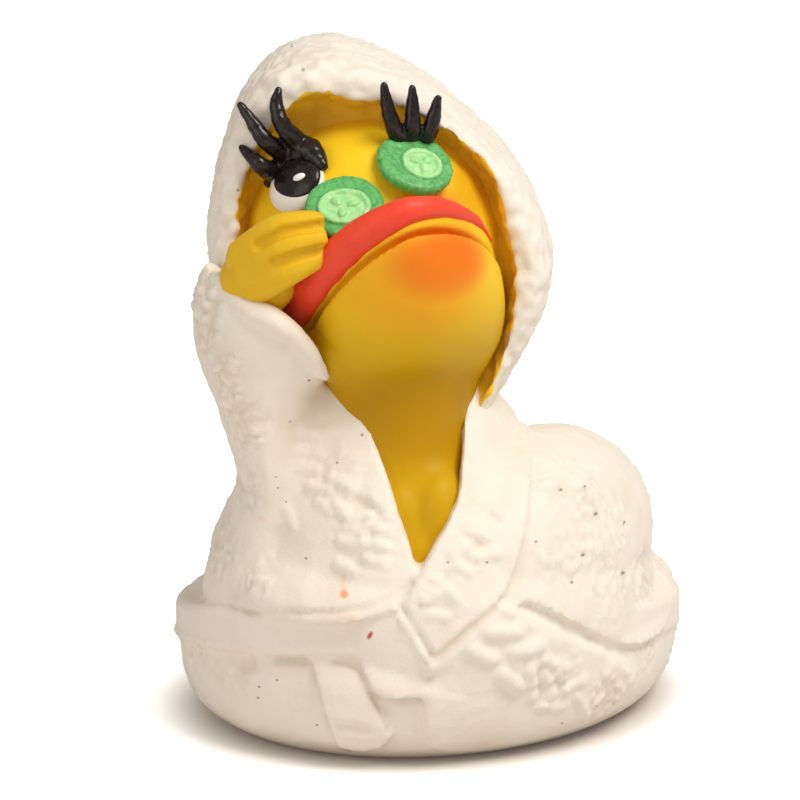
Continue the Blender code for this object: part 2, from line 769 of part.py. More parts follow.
def duck():
    """The whole moulding as one closed body."""
    body = boolean(torso(), neck_cut(), "DIFFERENCE")
    join(body, skirt(), belt(), shoulder(), wing(), folded_wing(), tail())
    join(body, left_panel(), flap(), lapel(), *straps(), sleeve())
    join(body, *sized_with_head(hood()), chest())
    head = ball("head", HEAD_CENTRE, Vector((SET_OUT_RADIUS,) * 3), None, 36, 20)
    join(body, *sized_with_head(head, chin(), upper_bill(), lip(), *eye(), *eyelids(), *lashes(), *slices()))
    join(body, hand())
    body.name = "duck"
    body.data.name = "duck"
    body.data.transform(Matrix.Translation(-BODY_CENTRE * MM))
    return body


def painted(obj, colour, roughness):
    """Gives the object one plain painted material."""
    material = bpy.data.materials.new(obj.name)
    material.use_nodes = True
    shader = material.node_tree.nodes["Principled BSDF"]
    shader.inputs["Base Color"].default_value = colour
    shader.inputs["Roughness"].default_value = roughness
    shader.inputs["Metallic"].default_value = 0.0
    material.diffuse_color = colour
    obj.data.materials.clear()
    obj.data.materials.append(material)


def main():
    clear_scene()
    collection = bpy.data.collections.new("rubber_duck")
    bpy.context.scene.collection.children.link(collection)
    body = duck()
    bpy.context.scene.collection.objects.unlink(body)
    collection.objects.link(body)
    body.data.shade_smooth()
    body.data.set_sharp_from_angle(angle=math.radians(SHARPEST_SMOOTH_ANGLE))
    painted(body, ROBE_WHITE, ROBE_ROUGHNESS)


main()
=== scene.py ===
"""A painted rubber duck in a hooded bathrobe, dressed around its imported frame.

Shapes are modelled in millimetres about a point under the neck. A finished piece is scaled to metres and
moved so that the middle of the flat base is the origin. X runs to the right of someone who faces the duck,
Y away from them and Z up.
"""

import logging
import math
from collections.abc import Callable, Sequence
from dataclasses import dataclass, field
from enum import Enum

import bmesh
import bpy
import numpy as np
from mathutils import Matrix, Vector, noise
from mathutils.bvhtree import BVHTree
from mathutils.kdtree import KDTree

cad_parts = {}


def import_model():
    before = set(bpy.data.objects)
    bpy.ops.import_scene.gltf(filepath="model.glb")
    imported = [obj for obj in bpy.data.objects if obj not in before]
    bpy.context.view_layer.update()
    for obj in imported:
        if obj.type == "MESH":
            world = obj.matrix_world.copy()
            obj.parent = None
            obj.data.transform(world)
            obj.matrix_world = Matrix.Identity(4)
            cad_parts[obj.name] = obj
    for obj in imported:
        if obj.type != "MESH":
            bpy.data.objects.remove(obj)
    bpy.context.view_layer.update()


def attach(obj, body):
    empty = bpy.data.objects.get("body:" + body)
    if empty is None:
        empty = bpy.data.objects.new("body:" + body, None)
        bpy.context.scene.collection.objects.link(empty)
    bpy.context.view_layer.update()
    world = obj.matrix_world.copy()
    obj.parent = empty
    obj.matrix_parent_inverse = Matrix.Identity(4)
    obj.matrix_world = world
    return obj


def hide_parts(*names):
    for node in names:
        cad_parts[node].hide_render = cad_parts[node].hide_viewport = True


MM = 0.001
BASE_CENTRE = Vector((0.1, 8.0, 0.0))
NODE = "duck"
BODY = "root"
OUTLINE_STEPS = 5
BAR_STEPS = 5
BAR_SIDES = 16
ROUND_END = (0.75, 0.6)
LOG = logging.getLogger("duck")

Point = tuple[float, float, float]
Spot = tuple[float, float]
Colour = tuple[float, float, float]
Ring = Sequence[Vector]


class Cut(Enum):
    """How one closed form acts on another."""

    JOIN = "UNION"
    REMOVE = "DIFFERENCE"
    KEEP_INSIDE = "INTERSECT"


def ease(value: float) -> float:
    """A smooth step from 0 to 1 as the value does the same."""
    value = min(max(value, 0.0), 1.0)
    return value * value * (3.0 - 2.0 * value)


def between(value: float, start: float, rise: float, end: float, fall: float) -> float:
    """1 from start to end and 0 beyond, fading in over rise after start and out over fall before end."""
    return ease((end - value) / fall) * ease((value - start) / rise)


def lumps(point: Vector, size: float, height: float) -> float:
    """Smooth random lumps of this size and height."""
    return noise.noise(point / size) * height


def smooth_rows(rows: Sequence[Sequence[float]], steps: int) -> list[Vector]:
    """Fills rows of numbers along a curve that passes through all of them.

    Args:
        rows: Rows of as many numbers each.
        steps: How many steps to take from one row to the next.

    Returns:
        The rows, with the new ones between them.
    """
    known = [Vector(row) for row in rows]
    found = []
    for i, start in enumerate(known[:-1]):
        before = known[max(i - 1, 0)]
        end = known[i + 1]
        after = known[min(i + 2, len(known) - 1)]
        for step in range(steps):
            t = step / steps
            bend = (before * 2 - start * 5 + end * 4 - after) * (0.5 * t * t)
            twist = (start * 3 - before - end * 3 + after) * (0.5 * t**3)
            found.append(start + (end - before) * (0.5 * t) + bend + twist)
    return [*found, known[-1]]


def closed_loop(outline: Sequence[Spot], steps: int) -> list[Vector]:
    """Points on a smooth closed curve through the outline, steps for each of its points.

    Args:
        outline: The points that the curve passes through.
        steps: How many points it gets for each of them.

    Returns:
        The curve's points, in order.
    """
    count = len(outline)
    ring = [outline[i % count] for i in range(-1, count + 2)]
    return smooth_rows(ring, steps)[steps : -steps - 1]


def ellipse(centre: Vector, across: Vector, along: Vector, sides: int) -> list[Vector]:
    """The points of an elliptical ring, from its centre and two half axes."""
    turns = [math.tau * i / sides for i in range(sides)]
    return [centre + across * math.cos(turn) + along * math.sin(turn) for turn in turns]


@dataclass(frozen=True)
class PhotoView:
    """The photograph's camera, which also finds the place on a form that a pixel shows."""

    elevation: float = 12.0
    distance: float = 600.0
    target: Point = (-4.3, 0.0, 45.6)
    lens: float = 189.0
    sensor: float = 36.0
    side: int = 800

    def back(self) -> Vector:
        """The way from the duck to the camera."""
        turn = math.radians(self.elevation)
        return Vector((0.0, -math.cos(turn), math.sin(turn)))

    def eye(self) -> Vector:
        """Where the camera stands, in millimetres."""
        return Vector(self.target) + self.back() * self.distance

    def ray(self, pixel: Spot) -> Vector:
        """The way that a pixel looks.

        Args:
            pixel: The pixel.

        Returns:
            The unit vector from the camera.
        """
        right = Vector((1.0, 0.0, 0.0))
        up = self.back().cross(right)
        scale = self.sensor / self.lens / self.side
        half = self.side / 2
        across = right * ((pixel[0] - half) * scale)
        return (across + up * ((half - pixel[1]) * scale) - self.back()).normalized()

    def hit(self, tree: BVHTree, pixel: Spot) -> Vector | None:
        """The first point of a form that a pixel shows, or None if it shows none."""
        return tree.ray_cast(self.eye(), self.ray(pixel))[0]

    def at_depth(self, pixel: Spot, depth: float) -> Vector:
        """The point that a pixel shows at this y, in millimetres.

        Args:
            pixel: The pixel.
            depth: The point's y.

        Returns:
            The point.
        """
        way = self.ray(pixel)
        return self.eye() + way * ((depth - self.eye().y) / way.y)

    def camera(self) -> bpy.types.Object:
        """Makes the scene's camera.

        Returns:
            The camera.
        """
        data = bpy.data.cameras.new("photo_camera")
        data.lens = self.lens
        data.sensor_width = self.sensor
        data.clip_start = 0.01
        data.clip_end = 20.0
        made = bpy.data.objects.new("photo_camera", data)
        bpy.context.scene.collection.objects.link(made)
        made.location = (self.eye() - BASE_CENTRE) * MM
        made.rotation_euler = self.back().to_track_quat("Z", "Y").to_euler()
        bpy.context.scene.camera = made
        return made


VIEW = PhotoView()


class Clay:
    """Modelling tools that work in millimetres on closed forms."""

    @staticmethod
    def choose(*objects: bpy.types.Object) -> bpy.types.Object:
        """Selects these objects alone, and makes the first one active.

        Args:
            *objects: The objects.

        Returns:
            The first one.
        """
        bpy.ops.object.select_all(action="DESELECT")
        for obj in objects:
            obj.select_set(True)
        bpy.context.view_layer.objects.active = objects[0]
        return objects[0]

    @staticmethod
    def outward(obj: bpy.types.Object) -> bpy.types.Object:
        """Turns all faces of a closed form outwards.

        Args:
            obj: The form.

        Returns:
            The form.
        """
        Clay.choose(obj)
        bpy.ops.object.mode_set(mode="EDIT")
        bpy.ops.mesh.select_all(action="SELECT")
        bpy.ops.mesh.normals_make_consistent(inside=False)
        bpy.ops.object.mode_set(mode="OBJECT")
        return obj

    @staticmethod
    def loft(name: str, rings: Sequence[Ring]) -> bpy.types.Object:
        """Draws a disc out through rings, one extrusion for each, into a closed form.

        Args:
            name: The form's name.
            rings: Rings of as many points each, in order.

        Returns:
            The closed form.
        """
        bpy.ops.object.select_all(action="DESELECT")
        bpy.ops.mesh.primitive_circle_add(vertices=len(rings[0]), radius=1.0, fill_type="NGON")
        obj = bpy.context.object
        obj.name = name
        for vertex, point in zip(obj.data.vertices, rings[0]):
            vertex.co = point
        bpy.ops.object.mode_set(mode="EDIT")
        bpy.ops.mesh.select_all(action="SELECT")
        for before, after in zip(rings, rings[1:]):
            bpy.ops.mesh.extrude_region_move(TRANSFORM_OT_translate={"value": (0.0, 0.0, 0.0)})
            nearest = KDTree(len(before))
            for i, point in enumerate(before):
                nearest.insert(point, i)
            nearest.balance()
            mesh = bmesh.from_edit_mesh(obj.data)
            for vertex in mesh.verts:
                if vertex.select:
                    vertex.co = after[nearest.find(vertex.co)[1]]
            bmesh.update_edit_mesh(obj.data)
        bpy.ops.object.mode_set(mode="OBJECT")
        return Clay.outward(obj)

    @staticmethod
    def level_loft(
        name: str, rows: Sequence[Sequence[float]], grow: float = 0.0, sides: int = 72, steps: int = 3
    ) -> bpy.types.Object:
        """A loft through level rings.

        Args:
            name: The form's name.
            rows: For each ring a height, the centre's x and y, and the half sizes along x and y.
            grow: How much to add to each half size.
            sides: How many points a ring has.
            steps: How many rings to make from one row to the next.

        Returns:
            The closed form.
        """
        rings = []
        for z, x, y, half_x, half_y in smooth_rows(rows, steps):
            across, along = Vector((half_x + grow, 0, 0)), Vector((0, half_y + grow, 0))
            rings.append(ellipse(Vector((x, y, z)), across, along, sides))
        return Clay.loft(name, rings)

    @staticmethod
    def ball(
        name: str, centre: Vector, half: Vector, turn: Matrix | None = None, fineness: int = 4
    ) -> bpy.types.Object:
        """An ellipsoid, from a subdivided icosahedron that is stretched and turned.

        Args:
            name: The form's name.
            centre: Its middle.
            half: Its half sizes along the axes of turn.
            turn: A rotation, or None for the world's own axes.
            fineness: How often the icosahedron is subdivided.

        Returns:
            The closed form.
        """
        bpy.ops.object.select_all(action="DESELECT")
        bpy.ops.mesh.primitive_ico_sphere_add(subdivisions=fineness, radius=1.0)
        obj = bpy.context.object
        obj.name = name
        turned = (turn or Matrix.Identity(3)).to_4x4()
        obj.data.transform(Matrix.Translation(centre) @ turned @ Matrix.Diagonal(half).to_4x4())
        return obj

    @staticmethod
    def slab(name: str, outline: Sequence[Spot], near: float = -60.0, far: float = 60.0) -> bpy.types.Object:
        """A smooth outline in x and z, carried from depth near to depth far.

        Args:
            name: The form's name.
            outline: The points that its outline passes through.
            near: The depth of its near face.
            far: The depth of its far face.

        Returns:
            The closed form.
        """
        loop = closed_loop(outline, OUTLINE_STEPS)
        rings = [[Vector((x, depth, z)) for x, z in loop] for depth in (near, far)]
        return Clay.loft(name, rings)

    @staticmethod
    def bar(name: str, points: Sequence[Sequence[float]], halves: Sequence[float]) -> bpy.types.Object:
        """A round bar that tapers from point to point and has closed, rounded ends.

        Args:
            name: The form's name.
            points: Places that the bar's middle passes through.
            halves: The bar's half width at each.

        Returns:
            The closed form.
        """
        rows = smooth_rows([(*point, half) for point, half in zip(points, halves)], BAR_STEPS)
        places = [Vector(row[:3]) for row in rows]
        rings = []
        side = None
        beyond, narrowed = ROUND_END
        for i, place in enumerate(places):
            ahead = (places[min(i + 1, len(places) - 1)] - places[max(i - 1, 0)]).normalized()
            side = side or ahead.orthogonal()
            side = (side - ahead * side.dot(ahead)).normalized()
            half = rows[i][3]
            ends = ((-beyond, narrowed),) if i == 0 else ()
            ends += ((0.0, 1.0),)
            ends += ((beyond, narrowed),) if i == len(places) - 1 else ()
            for step, share in ends:
                middle = place + ahead * (half * step)
                size = half * share
                rings.append(ellipse(middle, side * size, ahead.cross(side) * size, BAR_SIDES))
        return Clay.loft(name, rings)

    @staticmethod
    def apply(obj: bpy.types.Object, kind: str, **settings: object) -> bpy.types.Object:
        """Adds a modifier with these settings and applies it.

        Args:
            obj: The form.
            kind: The modifier's type.
            **settings: Its settings by name.

        Returns:
            The form.
        """
        Clay.choose(obj)
        bpy.ops.object.modifier_add(type=kind)
        modifier = obj.modifiers[-1]
        for name, value in settings.items():
            setattr(modifier, name, value)
        bpy.ops.object.modifier_apply(modifier=modifier.name)
        return obj

    @staticmethod
    def carve(base: bpy.types.Object, other: bpy.types.Object, cut: Cut) -> bpy.types.Object:
        """Joins, cuts or intersects base with other, which is used up.

        Args:
            base: The form that is kept.
            other: The form that acts on it.
            cut: How it acts.

        Returns:
            The base.
        """
        Clay.apply(base, "BOOLEAN", operation=cut.value, object=other, solver="EXACT")
        bpy.data.objects.remove(other)
        return base

    @staticmethod
    def fuse(name: str, forms: Sequence[bpy.types.Object], voxel: float, softening: int) -> bpy.types.Object:
        """Melts closed forms that overlap into one skin.

        Args:
            name: The new form's name.
            forms: The forms, which are used up.
            voxel: The new mesh's face size.
            softening: How many rounds of smoothing it gets.

        Returns:
            The one closed form.
        """
        obj = Clay.choose(*forms)
        bpy.ops.object.join()
        obj.name = name
        Clay.apply(obj, "REMESH", mode="VOXEL", voxel_size=voxel, adaptivity=0.0)
        if softening:
            Clay.apply(obj, "SMOOTH", factor=0.5, iterations=softening)
        return obj

    @staticmethod
    def tree(obj: bpy.types.Object) -> BVHTree:
        """A search tree of the form, for pixels to hit."""
        points = [vertex.co for vertex in obj.data.vertices]
        return BVHTree.FromPolygons(points, [face.vertices for face in obj.data.polygons])

    @staticmethod
    def soften(obj: bpy.types.Object, weight: Callable[[Vector], float], rounds: int) -> bpy.types.Object:
        """Smooths a part of a form, as strongly as weight says at each point.

        Args:
            obj: The form.
            weight: The strength at a point, from 0 to 1.
            rounds: How many rounds it gets.

        Returns:
            The form.
        """
        group = obj.vertex_groups.new(name="soft")
        for vertex in obj.data.vertices:
            share = weight(vertex.co)
            if share > 0.0:
                group.add((vertex.index,), share, "REPLACE")
        Clay.apply(obj, "SMOOTH", factor=0.5, iterations=rounds, vertex_group="soft")
        obj.vertex_groups.clear()
        return obj

    @staticmethod
    def sculpt(
        obj: bpy.types.Object, height: Callable[[Vector, Vector], float], strokes: Sequence["Stroke"] = ()
    ) -> bpy.types.Object:
        """Moves each point along its normal, and keeps how far as the attribute relief.

        Args:
            obj: The form.
            height: The move, from a point and its normal.
            strokes: Ridges and grooves that are added to it.

        Returns:
            The form.
        """
        mesh = obj.data
        moves = [height(vertex.co, vertex.normal) for vertex in mesh.vertices]
        if strokes:
            points = np.array([vertex.co for vertex in mesh.vertices])
            tree = Clay.tree(obj)
            heights = np.array([stroke.relief(points, tree) for stroke in strokes])
            moves = [float(move) for move in moves + heights.max(axis=0) + heights.min(axis=0)]
        places = [vertex.co + vertex.normal * move for vertex, move in zip(mesh.vertices, moves)]
        mesh.vertices.foreach_set("co", [number for place in places for number in place])
        mesh.attributes.new("relief", "FLOAT", "POINT").data.foreach_set("value", moves)
        mesh.update()
        return obj

    @staticmethod
    def finish(obj: bpy.types.Object, material: bpy.types.Material, slot: str) -> bpy.types.Object:
        """Brings a finished form to its true size and place, and hands it to the frame.

        Args:
            obj: The form.
            material: Its material.
            slot: The record's slot for that material; not used.

        Returns:
            The form.
        """
        obj.data.transform(Matrix.Scale(MM, 4) @ Matrix.Translation(-BASE_CENTRE))
        obj.data.name = obj.name
        obj.data.materials.clear()
        obj.data.materials.append(material)
        Clay.choose(obj)
        bpy.ops.object.shade_smooth()
        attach(obj, BODY)
        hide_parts(NODE)
        LOG.info("%s: %d faces", obj.name, len(obj.data.polygons))
        return obj


class Value:
    """A number that varies over a surface. Arithmetic on it adds the shader's own nodes."""

    def __init__(self, shader: "Shader", socket: bpy.types.NodeSocket) -> None:
        """Wraps a socket of the shader."""
        self.shader = shader
        self.socket = socket

    def _do(self, operation: str, *others: "Value | float") -> "Value":
        """The result of a Math node on this value and the others.

        Args:
            operation: The node's operation.
            *others: Its other inputs.

        Returns:
            The result.
        """
        values = {0: self}
        values.update({i + 1: other for i, other in enumerate(others)})
        return self.shader.value(self.shader.node("ShaderNodeMath", {"operation": operation}, values))

    def __add__(self, other: "Value | float") -> "Value":
        """Value plus other."""
        return self._do("ADD", other)

    __radd__ = __add__

    def __mul__(self, other: "Value | float") -> "Value":
        """Value times other."""
        return self._do("MULTIPLY", other)

    __rmul__ = __mul__

    def __sub__(self, other: "Value | float") -> "Value":
        """Value less other."""
        return self._do("SUBTRACT", other)

    def __rsub__(self, other: float) -> "Value":
        """Other less value."""
        return self * -1.0 + other

    def ramp(self, low: float, high: float) -> "Value":
        """A smooth step that is 0 at low and 1 at high.

        Args:
            low: The value that gives 0.
            high: The value that gives 1.

        Returns:
            The step's result.
        """
        settings = {"interpolation_type": "SMOOTHSTEP", "clamp": True}
        places = {"Value": self, "From Min": low, "From Max": high}
        return self.shader.value(self.shader.node("ShaderNodeMapRange", settings, places))


class Shader:
    """One material's nodes, made from expressions."""

    def __init__(self, name: str, roughness: float, specular: float = 0.5) -> None:
        """Starts a material with a Principled surface.

        Args:
            name: The material's name.
            roughness: The surface's roughness.
            specular: How strongly it reflects.
        """
        self.material = bpy.data.materials.new(name)
        self.material.use_nodes = True
        self.tree = self.material.node_tree
        self.surface = self.tree.nodes["Principled BSDF"]
        self.set("Roughness", roughness)
        self.set("Specular IOR Level", specular)
        coordinates = self.node("ShaderNodeTexCoord", {}, {})
        self.place = coordinates.outputs["Object"]

    def node(self, kind: str, settings: dict, inputs: dict) -> bpy.types.Node:
        """Adds a node.

        Args:
            kind: The node's type.
            settings: Its own settings, set before its inputs.
            inputs: Values, sockets, nodes or Value objects by the name or number of the input.

        Returns:
            The node.
        """
        made = self.tree.nodes.new(kind)
        for name, value in settings.items():
            setattr(made, name, value)
        for name, value in inputs.items():
            self.feed(made.inputs[name], value)
        return made

    def feed(self, target: bpy.types.NodeSocket, value: object) -> None:
        """Links a value to a socket, or sets it there if it is plain.

        Args:
            target: The socket.
            value: A Value, a node, a socket, or a plain number, vector or colour.
        """
        if isinstance(value, Value):
            value = value.socket
        if isinstance(value, bpy.types.Node):
            value = value.outputs[0]
        if isinstance(value, bpy.types.NodeSocket):
            self.tree.links.new(value, target)
        elif target.type == "RGBA" and len(value) == 3:
            target.default_value = (*value, 1.0)
        else:
            target.default_value = value

    def set(self, name: str, value: object) -> None:
        """Feeds an input of the surface."""
        self.feed(self.surface.inputs[name], value)

    def value(self, source: bpy.types.Node) -> Value:
        """The node's first output as a number."""
        return Value(self, source.outputs[0])

    def attribute(self, name: str) -> Value:
        """A number kept on the piece's points."""
        found = self.node("ShaderNodeAttribute", {"attribute_name": name}, {})
        return Value(self, found.outputs["Fac"])

    def height(self) -> Value:
        """How high a point is, in millimetres."""
        return Value(self, self.node("ShaderNodeSeparateXYZ", {}, {0: self.place}).outputs["Z"]) * (1 / MM)

    def noise(self, size: float, detail: float = 3.0, roughness: float = 0.55) -> Value:
        """Noise whose grain is size millimetres, from 0 to 1."""
        inputs = {"Vector": self.place, "Scale": 1 / (size * MM), "Detail": detail, "Roughness": roughness}
        return self.value(self.node("ShaderNodeTexNoise", {}, inputs))

    def mix(self, share: Value | float, first: object, second: object) -> bpy.types.NodeSocket:
        """A colour between first and second.

        Args:
            share: How much of the second there is.
            first: A colour or its socket.
            second: Another colour or its socket.

        Returns:
            The socket of the mixed colour.
        """
        made = self.node("ShaderNodeMix", {"data_type": "RGBA"}, {})
        self.feed(made.inputs[0], share)
        self.feed(made.inputs[6], first)
        self.feed(made.inputs[7], second)
        return made.outputs[2]

    def spot(self, centre: Vector, half: Point, edge: float, axes: Matrix | None = None) -> Value:
        """A soft spot on the surface.

        Args:
            centre: Its middle, in millimetres.
            half: Its half sizes along the axes.
            edge: The share of its size over which it fades.
            axes: A rotation whose columns are its axes, or None for the world's own.

        Returns:
            1 inside the spot and 0 outside.
        """
        turn = (axes or Matrix.Identity(3)).transposed()
        squeeze = Matrix.Diagonal(Vector([1 / (size * MM) for size in half]))
        rows = squeeze @ turn
        offset = rows @ ((centre - BASE_CENTRE) * -MM)
        parts = []
        for i in range(3):
            dot = self.node("ShaderNodeVectorMath", {"operation": "DOT_PRODUCT"}, {0: self.place, 1: rows[i]})
            reach = Value(self, dot.outputs["Value"]) + offset[i]
            parts.append(reach * reach)
        return (parts[0] + parts[1] + parts[2]).ramp(1.0, (1.0 - edge) ** 2)

    def bump(self, height: Value, distance: float) -> None:
        """Feeds a bump of this height, whose full step is distance millimetres."""
        inputs = {"Height": height, "Distance": distance * MM}
        self.set("Normal", self.node("ShaderNodeBump", {}, inputs))


@dataclass(frozen=True)
class Stroke:
    """A rounded ridge between two pixels of the photograph, or a groove if its height is below zero.

    Attributes:
        start: The pixel where it starts.
        end: The pixel where it ends.
        half: Its half width, in millimetres.
        height: Its height.
    """

    start: Spot
    end: Spot
    half: float
    height: float

    def relief(self, points: np.ndarray, tree: BVHTree) -> np.ndarray:
        """The stroke's height at each of the points of a form whose search tree is given.

        Args:
            points: The form's points.
            tree: The form's search tree.

        Returns:
            The heights.
        """
        start, end = VIEW.hit(tree, self.start), VIEW.hit(tree, self.end)
        if start is None or end is None:
            return np.zeros(len(points))
        start, run = np.array(start), np.array(end - start)
        along = np.clip((points - start) @ run / max(run @ run, 1e-6), 0.0, 1.0)
        off = np.linalg.norm(points - start - along[:, None] * run, axis=1) / self.half
        return self.height * np.clip(1.0 - off * off, 0.0, 1.0) ** 1.5


def strokes(half: float, height: float, *runs: tuple[float, float, float, float]) -> tuple[Stroke, ...]:
    """Strokes of one width and height, from the pixels x, y where each starts and ends."""
    return tuple(Stroke((x0, y0), (x1, y1), half, height) for x0, y0, x1, y1 in runs)


def trail(half: float, height: float, *pixels: Spot) -> tuple[Stroke, ...]:
    """Strokes of one width and height, from each pixel to the next."""
    return tuple(Stroke(start, end, half, height) for start, end in zip(pixels, pixels[1:]))


@dataclass(frozen=True)
class Mark:
    """A small mark on the paint.

    Attributes:
        pixel: Where the photograph shows it.
        half: Its half sizes across and up, in millimetres.
        colour: Its colour.
        strength: How much of the paint it covers.
        tilt: How far it leans to the right, in degrees.
    """

    pixel: Spot
    half: Spot
    colour: Colour
    strength: float = 0.8
    tilt: float = 0.0


DIRT = (0.16, 0.12, 0.08)
ROBE_MARKS = (
    Mark((344, 594), (0.75, 0.7), (0.9, 0.28, 0.08), 0.75),
    Mark((343, 583), (0.55, 1.6), (0.93, 0.55, 0.35), 0.45, 8.0),
    Mark((370, 635), (0.4, 0.85), (0.55, 0.03, 0.02), 0.9, 28.0),
    Mark((348, 620), (2.6, 1.2), (0.93, 0.62, 0.48), 0.4),
    Mark((262, 519), (0.6, 0.6), (0.93, 0.62, 0.45), 0.5),
    *(
        Mark(pixel, (half, half * 0.8), DIRT, 0.75)
        for pixel, half in (
            ((309, 380), 0.3),
            ((290, 422), 0.2),
            ((276, 477), 0.18),
            ((278, 488), 0.2),
            ((286, 502), 0.18),
            ((337, 463), 0.22),
            ((306, 558), 0.25),
            ((362, 435), 0.3),
            ((259, 687), 0.24),
            ((258, 698), 0.26),
            ((277, 680), 0.22),
            ((317, 725), 0.25),
            ((242, 730), 0.2),
            ((561, 491), 0.36),
            ((585, 487), 0.28),
            ((596, 515), 0.42),
            ((624, 523), 0.3),
            ((583, 556), 0.36),
            ((536, 542), 0.26),
            ((623, 574), 0.4),
            ((572, 583), 0.3),
            ((448, 562), 0.24),
            ((487, 562), 0.26),
            ((597, 706), 0.26),
            ((562, 723), 0.22),
        )
    ),
)


HOOD_MARKS = (
    Mark((323, 36), (0.3, 0.3), DIRT, 0.6),
    Mark((292, 45), (0.3, 0.25), DIRT, 0.6),
    Mark((303, 70), (0.35, 0.3), DIRT, 0.6),
    Mark((238, 190), (0.3, 0.3), DIRT, 0.7),
)


@dataclass(frozen=True)
class RobePaint:
    """Matt warm white paint with painted shade and a little grime in its hollows, small marks, and yellow
    inside the hood.
    """

    white: Colour = (0.86, 0.78, 0.67)
    shade: Colour = (0.74, 0.61, 0.47)
    lining: Colour = (0.95, 0.62, 0.03)
    lining_shade: Colour = (0.72, 0.36, 0.02)
    roughness: float = 0.62
    hollow_range: Spot = (0.05, 0.6)
    hollow_share: float = 0.42
    cloud_size: float = 16.0
    cloud_share: float = 0.22
    ragged_size: float = 4.5
    ragged_reach: float = 3.2
    ragged_edge: float = 0.12
    mark_depth: float = 3.0
    mark_edge: float = 0.75
    grain_depth: float = 0.07

    def material(self, marks: Sequence[tuple[Mark, Vector]], lined: bool) -> bpy.types.Material:
        """Makes the paint.

        Args:
            marks: Marks, each with its place in millimetres.
            lined: Whether the piece has a yellow inside, kept in its attribute lining.

        Returns:
            The material.
        """
        shader = Shader("hood_paint" if lined else "robe_paint", self.roughness, 0.35)
        # Hollows and creases, where the relief attribute is low, darken towards the shade colour: painted
        # shade with a little grime.
        hollow = (shader.attribute("relief") * -1.0 + shader.noise(2.4) * 0.3).ramp(*self.hollow_range)
        cloud = shader.noise(self.cloud_size, 2.0).ramp(0.35, 0.75) * self.cloud_share
        colour = shader.mix((hollow * self.hollow_share + cloud).ramp(0.0, 1.0), self.white, self.shade)
        for mark, centre in marks:
            turn = Matrix.Rotation(math.radians(mark.tilt), 3, "Y")
            half = (mark.half[0], self.mark_depth, mark.half[1])
            spot = shader.spot(centre, half, self.mark_edge, turn) * mark.strength
            colour = shader.mix(spot, colour, mark.colour)
        if lined:
            wander = (shader.noise(self.ragged_size, 2.0) - 0.5) * self.ragged_reach
            painted = (shader.attribute("lining") + wander).ramp(-self.ragged_edge, self.ragged_edge)
            warm = shader.mix(shader.noise(7.0).ramp(0.35, 0.7) * 0.6, self.lining, self.lining_shade)
            colour = shader.mix(painted, colour, warm)
        shader.set("Base Color", colour)
        shader.set("Roughness", shader.noise(1.2) * 0.25 + (self.roughness - 0.12))
        shader.bump(shader.noise(0.55, 4.0, 0.6) + shader.noise(0.16, 2.0) * 0.35, self.grain_depth)
        return shader.material


@dataclass(frozen=True)
class TintPatch:
    """A soft patch of another colour over the skin. Some are sprayed orange paint, others painted shade.

    Attributes:
        pixel: Where the photograph shows its middle.
        half: Its half sizes across, in depth and up, in millimetres.
        colour: Its colour.
        strength: How much of the skin it covers at its middle.
    """

    pixel: Spot
    half: Point
    colour: Colour
    strength: float


@dataclass(frozen=True)
class SkinPaint:
    """Satin yellow paint with sprayed orange patches, painted shade that darkens it towards the bottom, and
    patches of painted shade.
    """

    yellow: Colour = (0.93, 0.59, 0.018)
    deep: Colour = (0.78, 0.43, 0.006)
    low: Colour = (0.6, 0.35, 0.002)
    grime: Colour = (0.5, 0.27, 0.04)
    # Below low_from the yellow darkens to the low colour, fully by low_to: painted shade on the chin, neck and
    # chest under the head.
    low_from: float = 70.0
    low_to: float = 54.0
    roughness: float = 0.46
    specular: float = 0.16
    cloud_size: float = 11.0
    cloud_share: float = 0.25
    grime_share: float = 0.12
    tints: tuple[TintPatch, ...] = (
        TintPatch((446, 262), (10.5, 14.0, 6.5), (0.82, 0.11, 0.01), 0.95),
        TintPatch((425, 290), (15.0, 14.0, 9.0), (0.84, 0.25, 0.012), 0.5),
        # Orange under the lying slice: partly sprayed orange, partly the slice's painted shadow.
        TintPatch((428, 203), (7.5, 6.0, 2.6), (0.84, 0.24, 0.012), 0.8),
        # Dark ochre on the face's right side by the hood: painted shade.
        TintPatch((470, 190), (4.5, 7.0, 6.0), (0.66, 0.3, 0.008), 0.65),
        TintPatch((350, 232), (5.5, 4.0, 2.0), (0.84, 0.3, 0.012), 0.6),
        # Dark ochre on the throat under the chin: painted shade.
        TintPatch((415, 418), (17.0, 16.0, 9.5), (0.44, 0.215, 0.001), 0.85),
        # Dark ochre in the crease under the jaw's right side: painted shade.
        TintPatch((468, 392), (3.5, 8.0, 5.0), (0.4, 0.19, 0.001), 0.5),
    )

    def material(self, name: str, tree: BVHTree) -> bpy.types.Material:
        """Makes the paint for a piece, whose search tree gives the places of the patches.

        Args:
            name: The material's name.
            tree: The piece's search tree.

        Returns:
            The material.
        """
        shader = Shader(name, self.roughness, self.specular)
        cloud = shader.noise(self.cloud_size, 2.0).ramp(0.4, 0.8) * self.cloud_share
        # Painted shade: the yellow is darker towards the bottom.
        high = shader.height().ramp(self.low_to, self.low_from)
        colour = shader.mix(cloud, shader.mix(high, self.low, self.yellow), self.deep)
        # Each patch mixes in its colour; the dark ochre ones are painted shade.
        for tint in self.tints:
            centre = VIEW.hit(tree, tint.pixel)
            if centre is not None:
                spot = shader.spot(centre, tint.half, 1.0) * tint.strength
                colour = shader.mix(spot, colour, tint.colour)
        grime = shader.noise(1.7, 5.0, 0.7).ramp(0.68, 0.8) * self.grime_share
        shader.set("Base Color", shader.mix(grime, colour, self.grime))
        shader.set("Roughness", shader.noise(3.0) * 0.2 + (self.roughness - 0.1))
        shader.bump(shader.noise(0.8, 3.0), 0.035)
        return shader.material


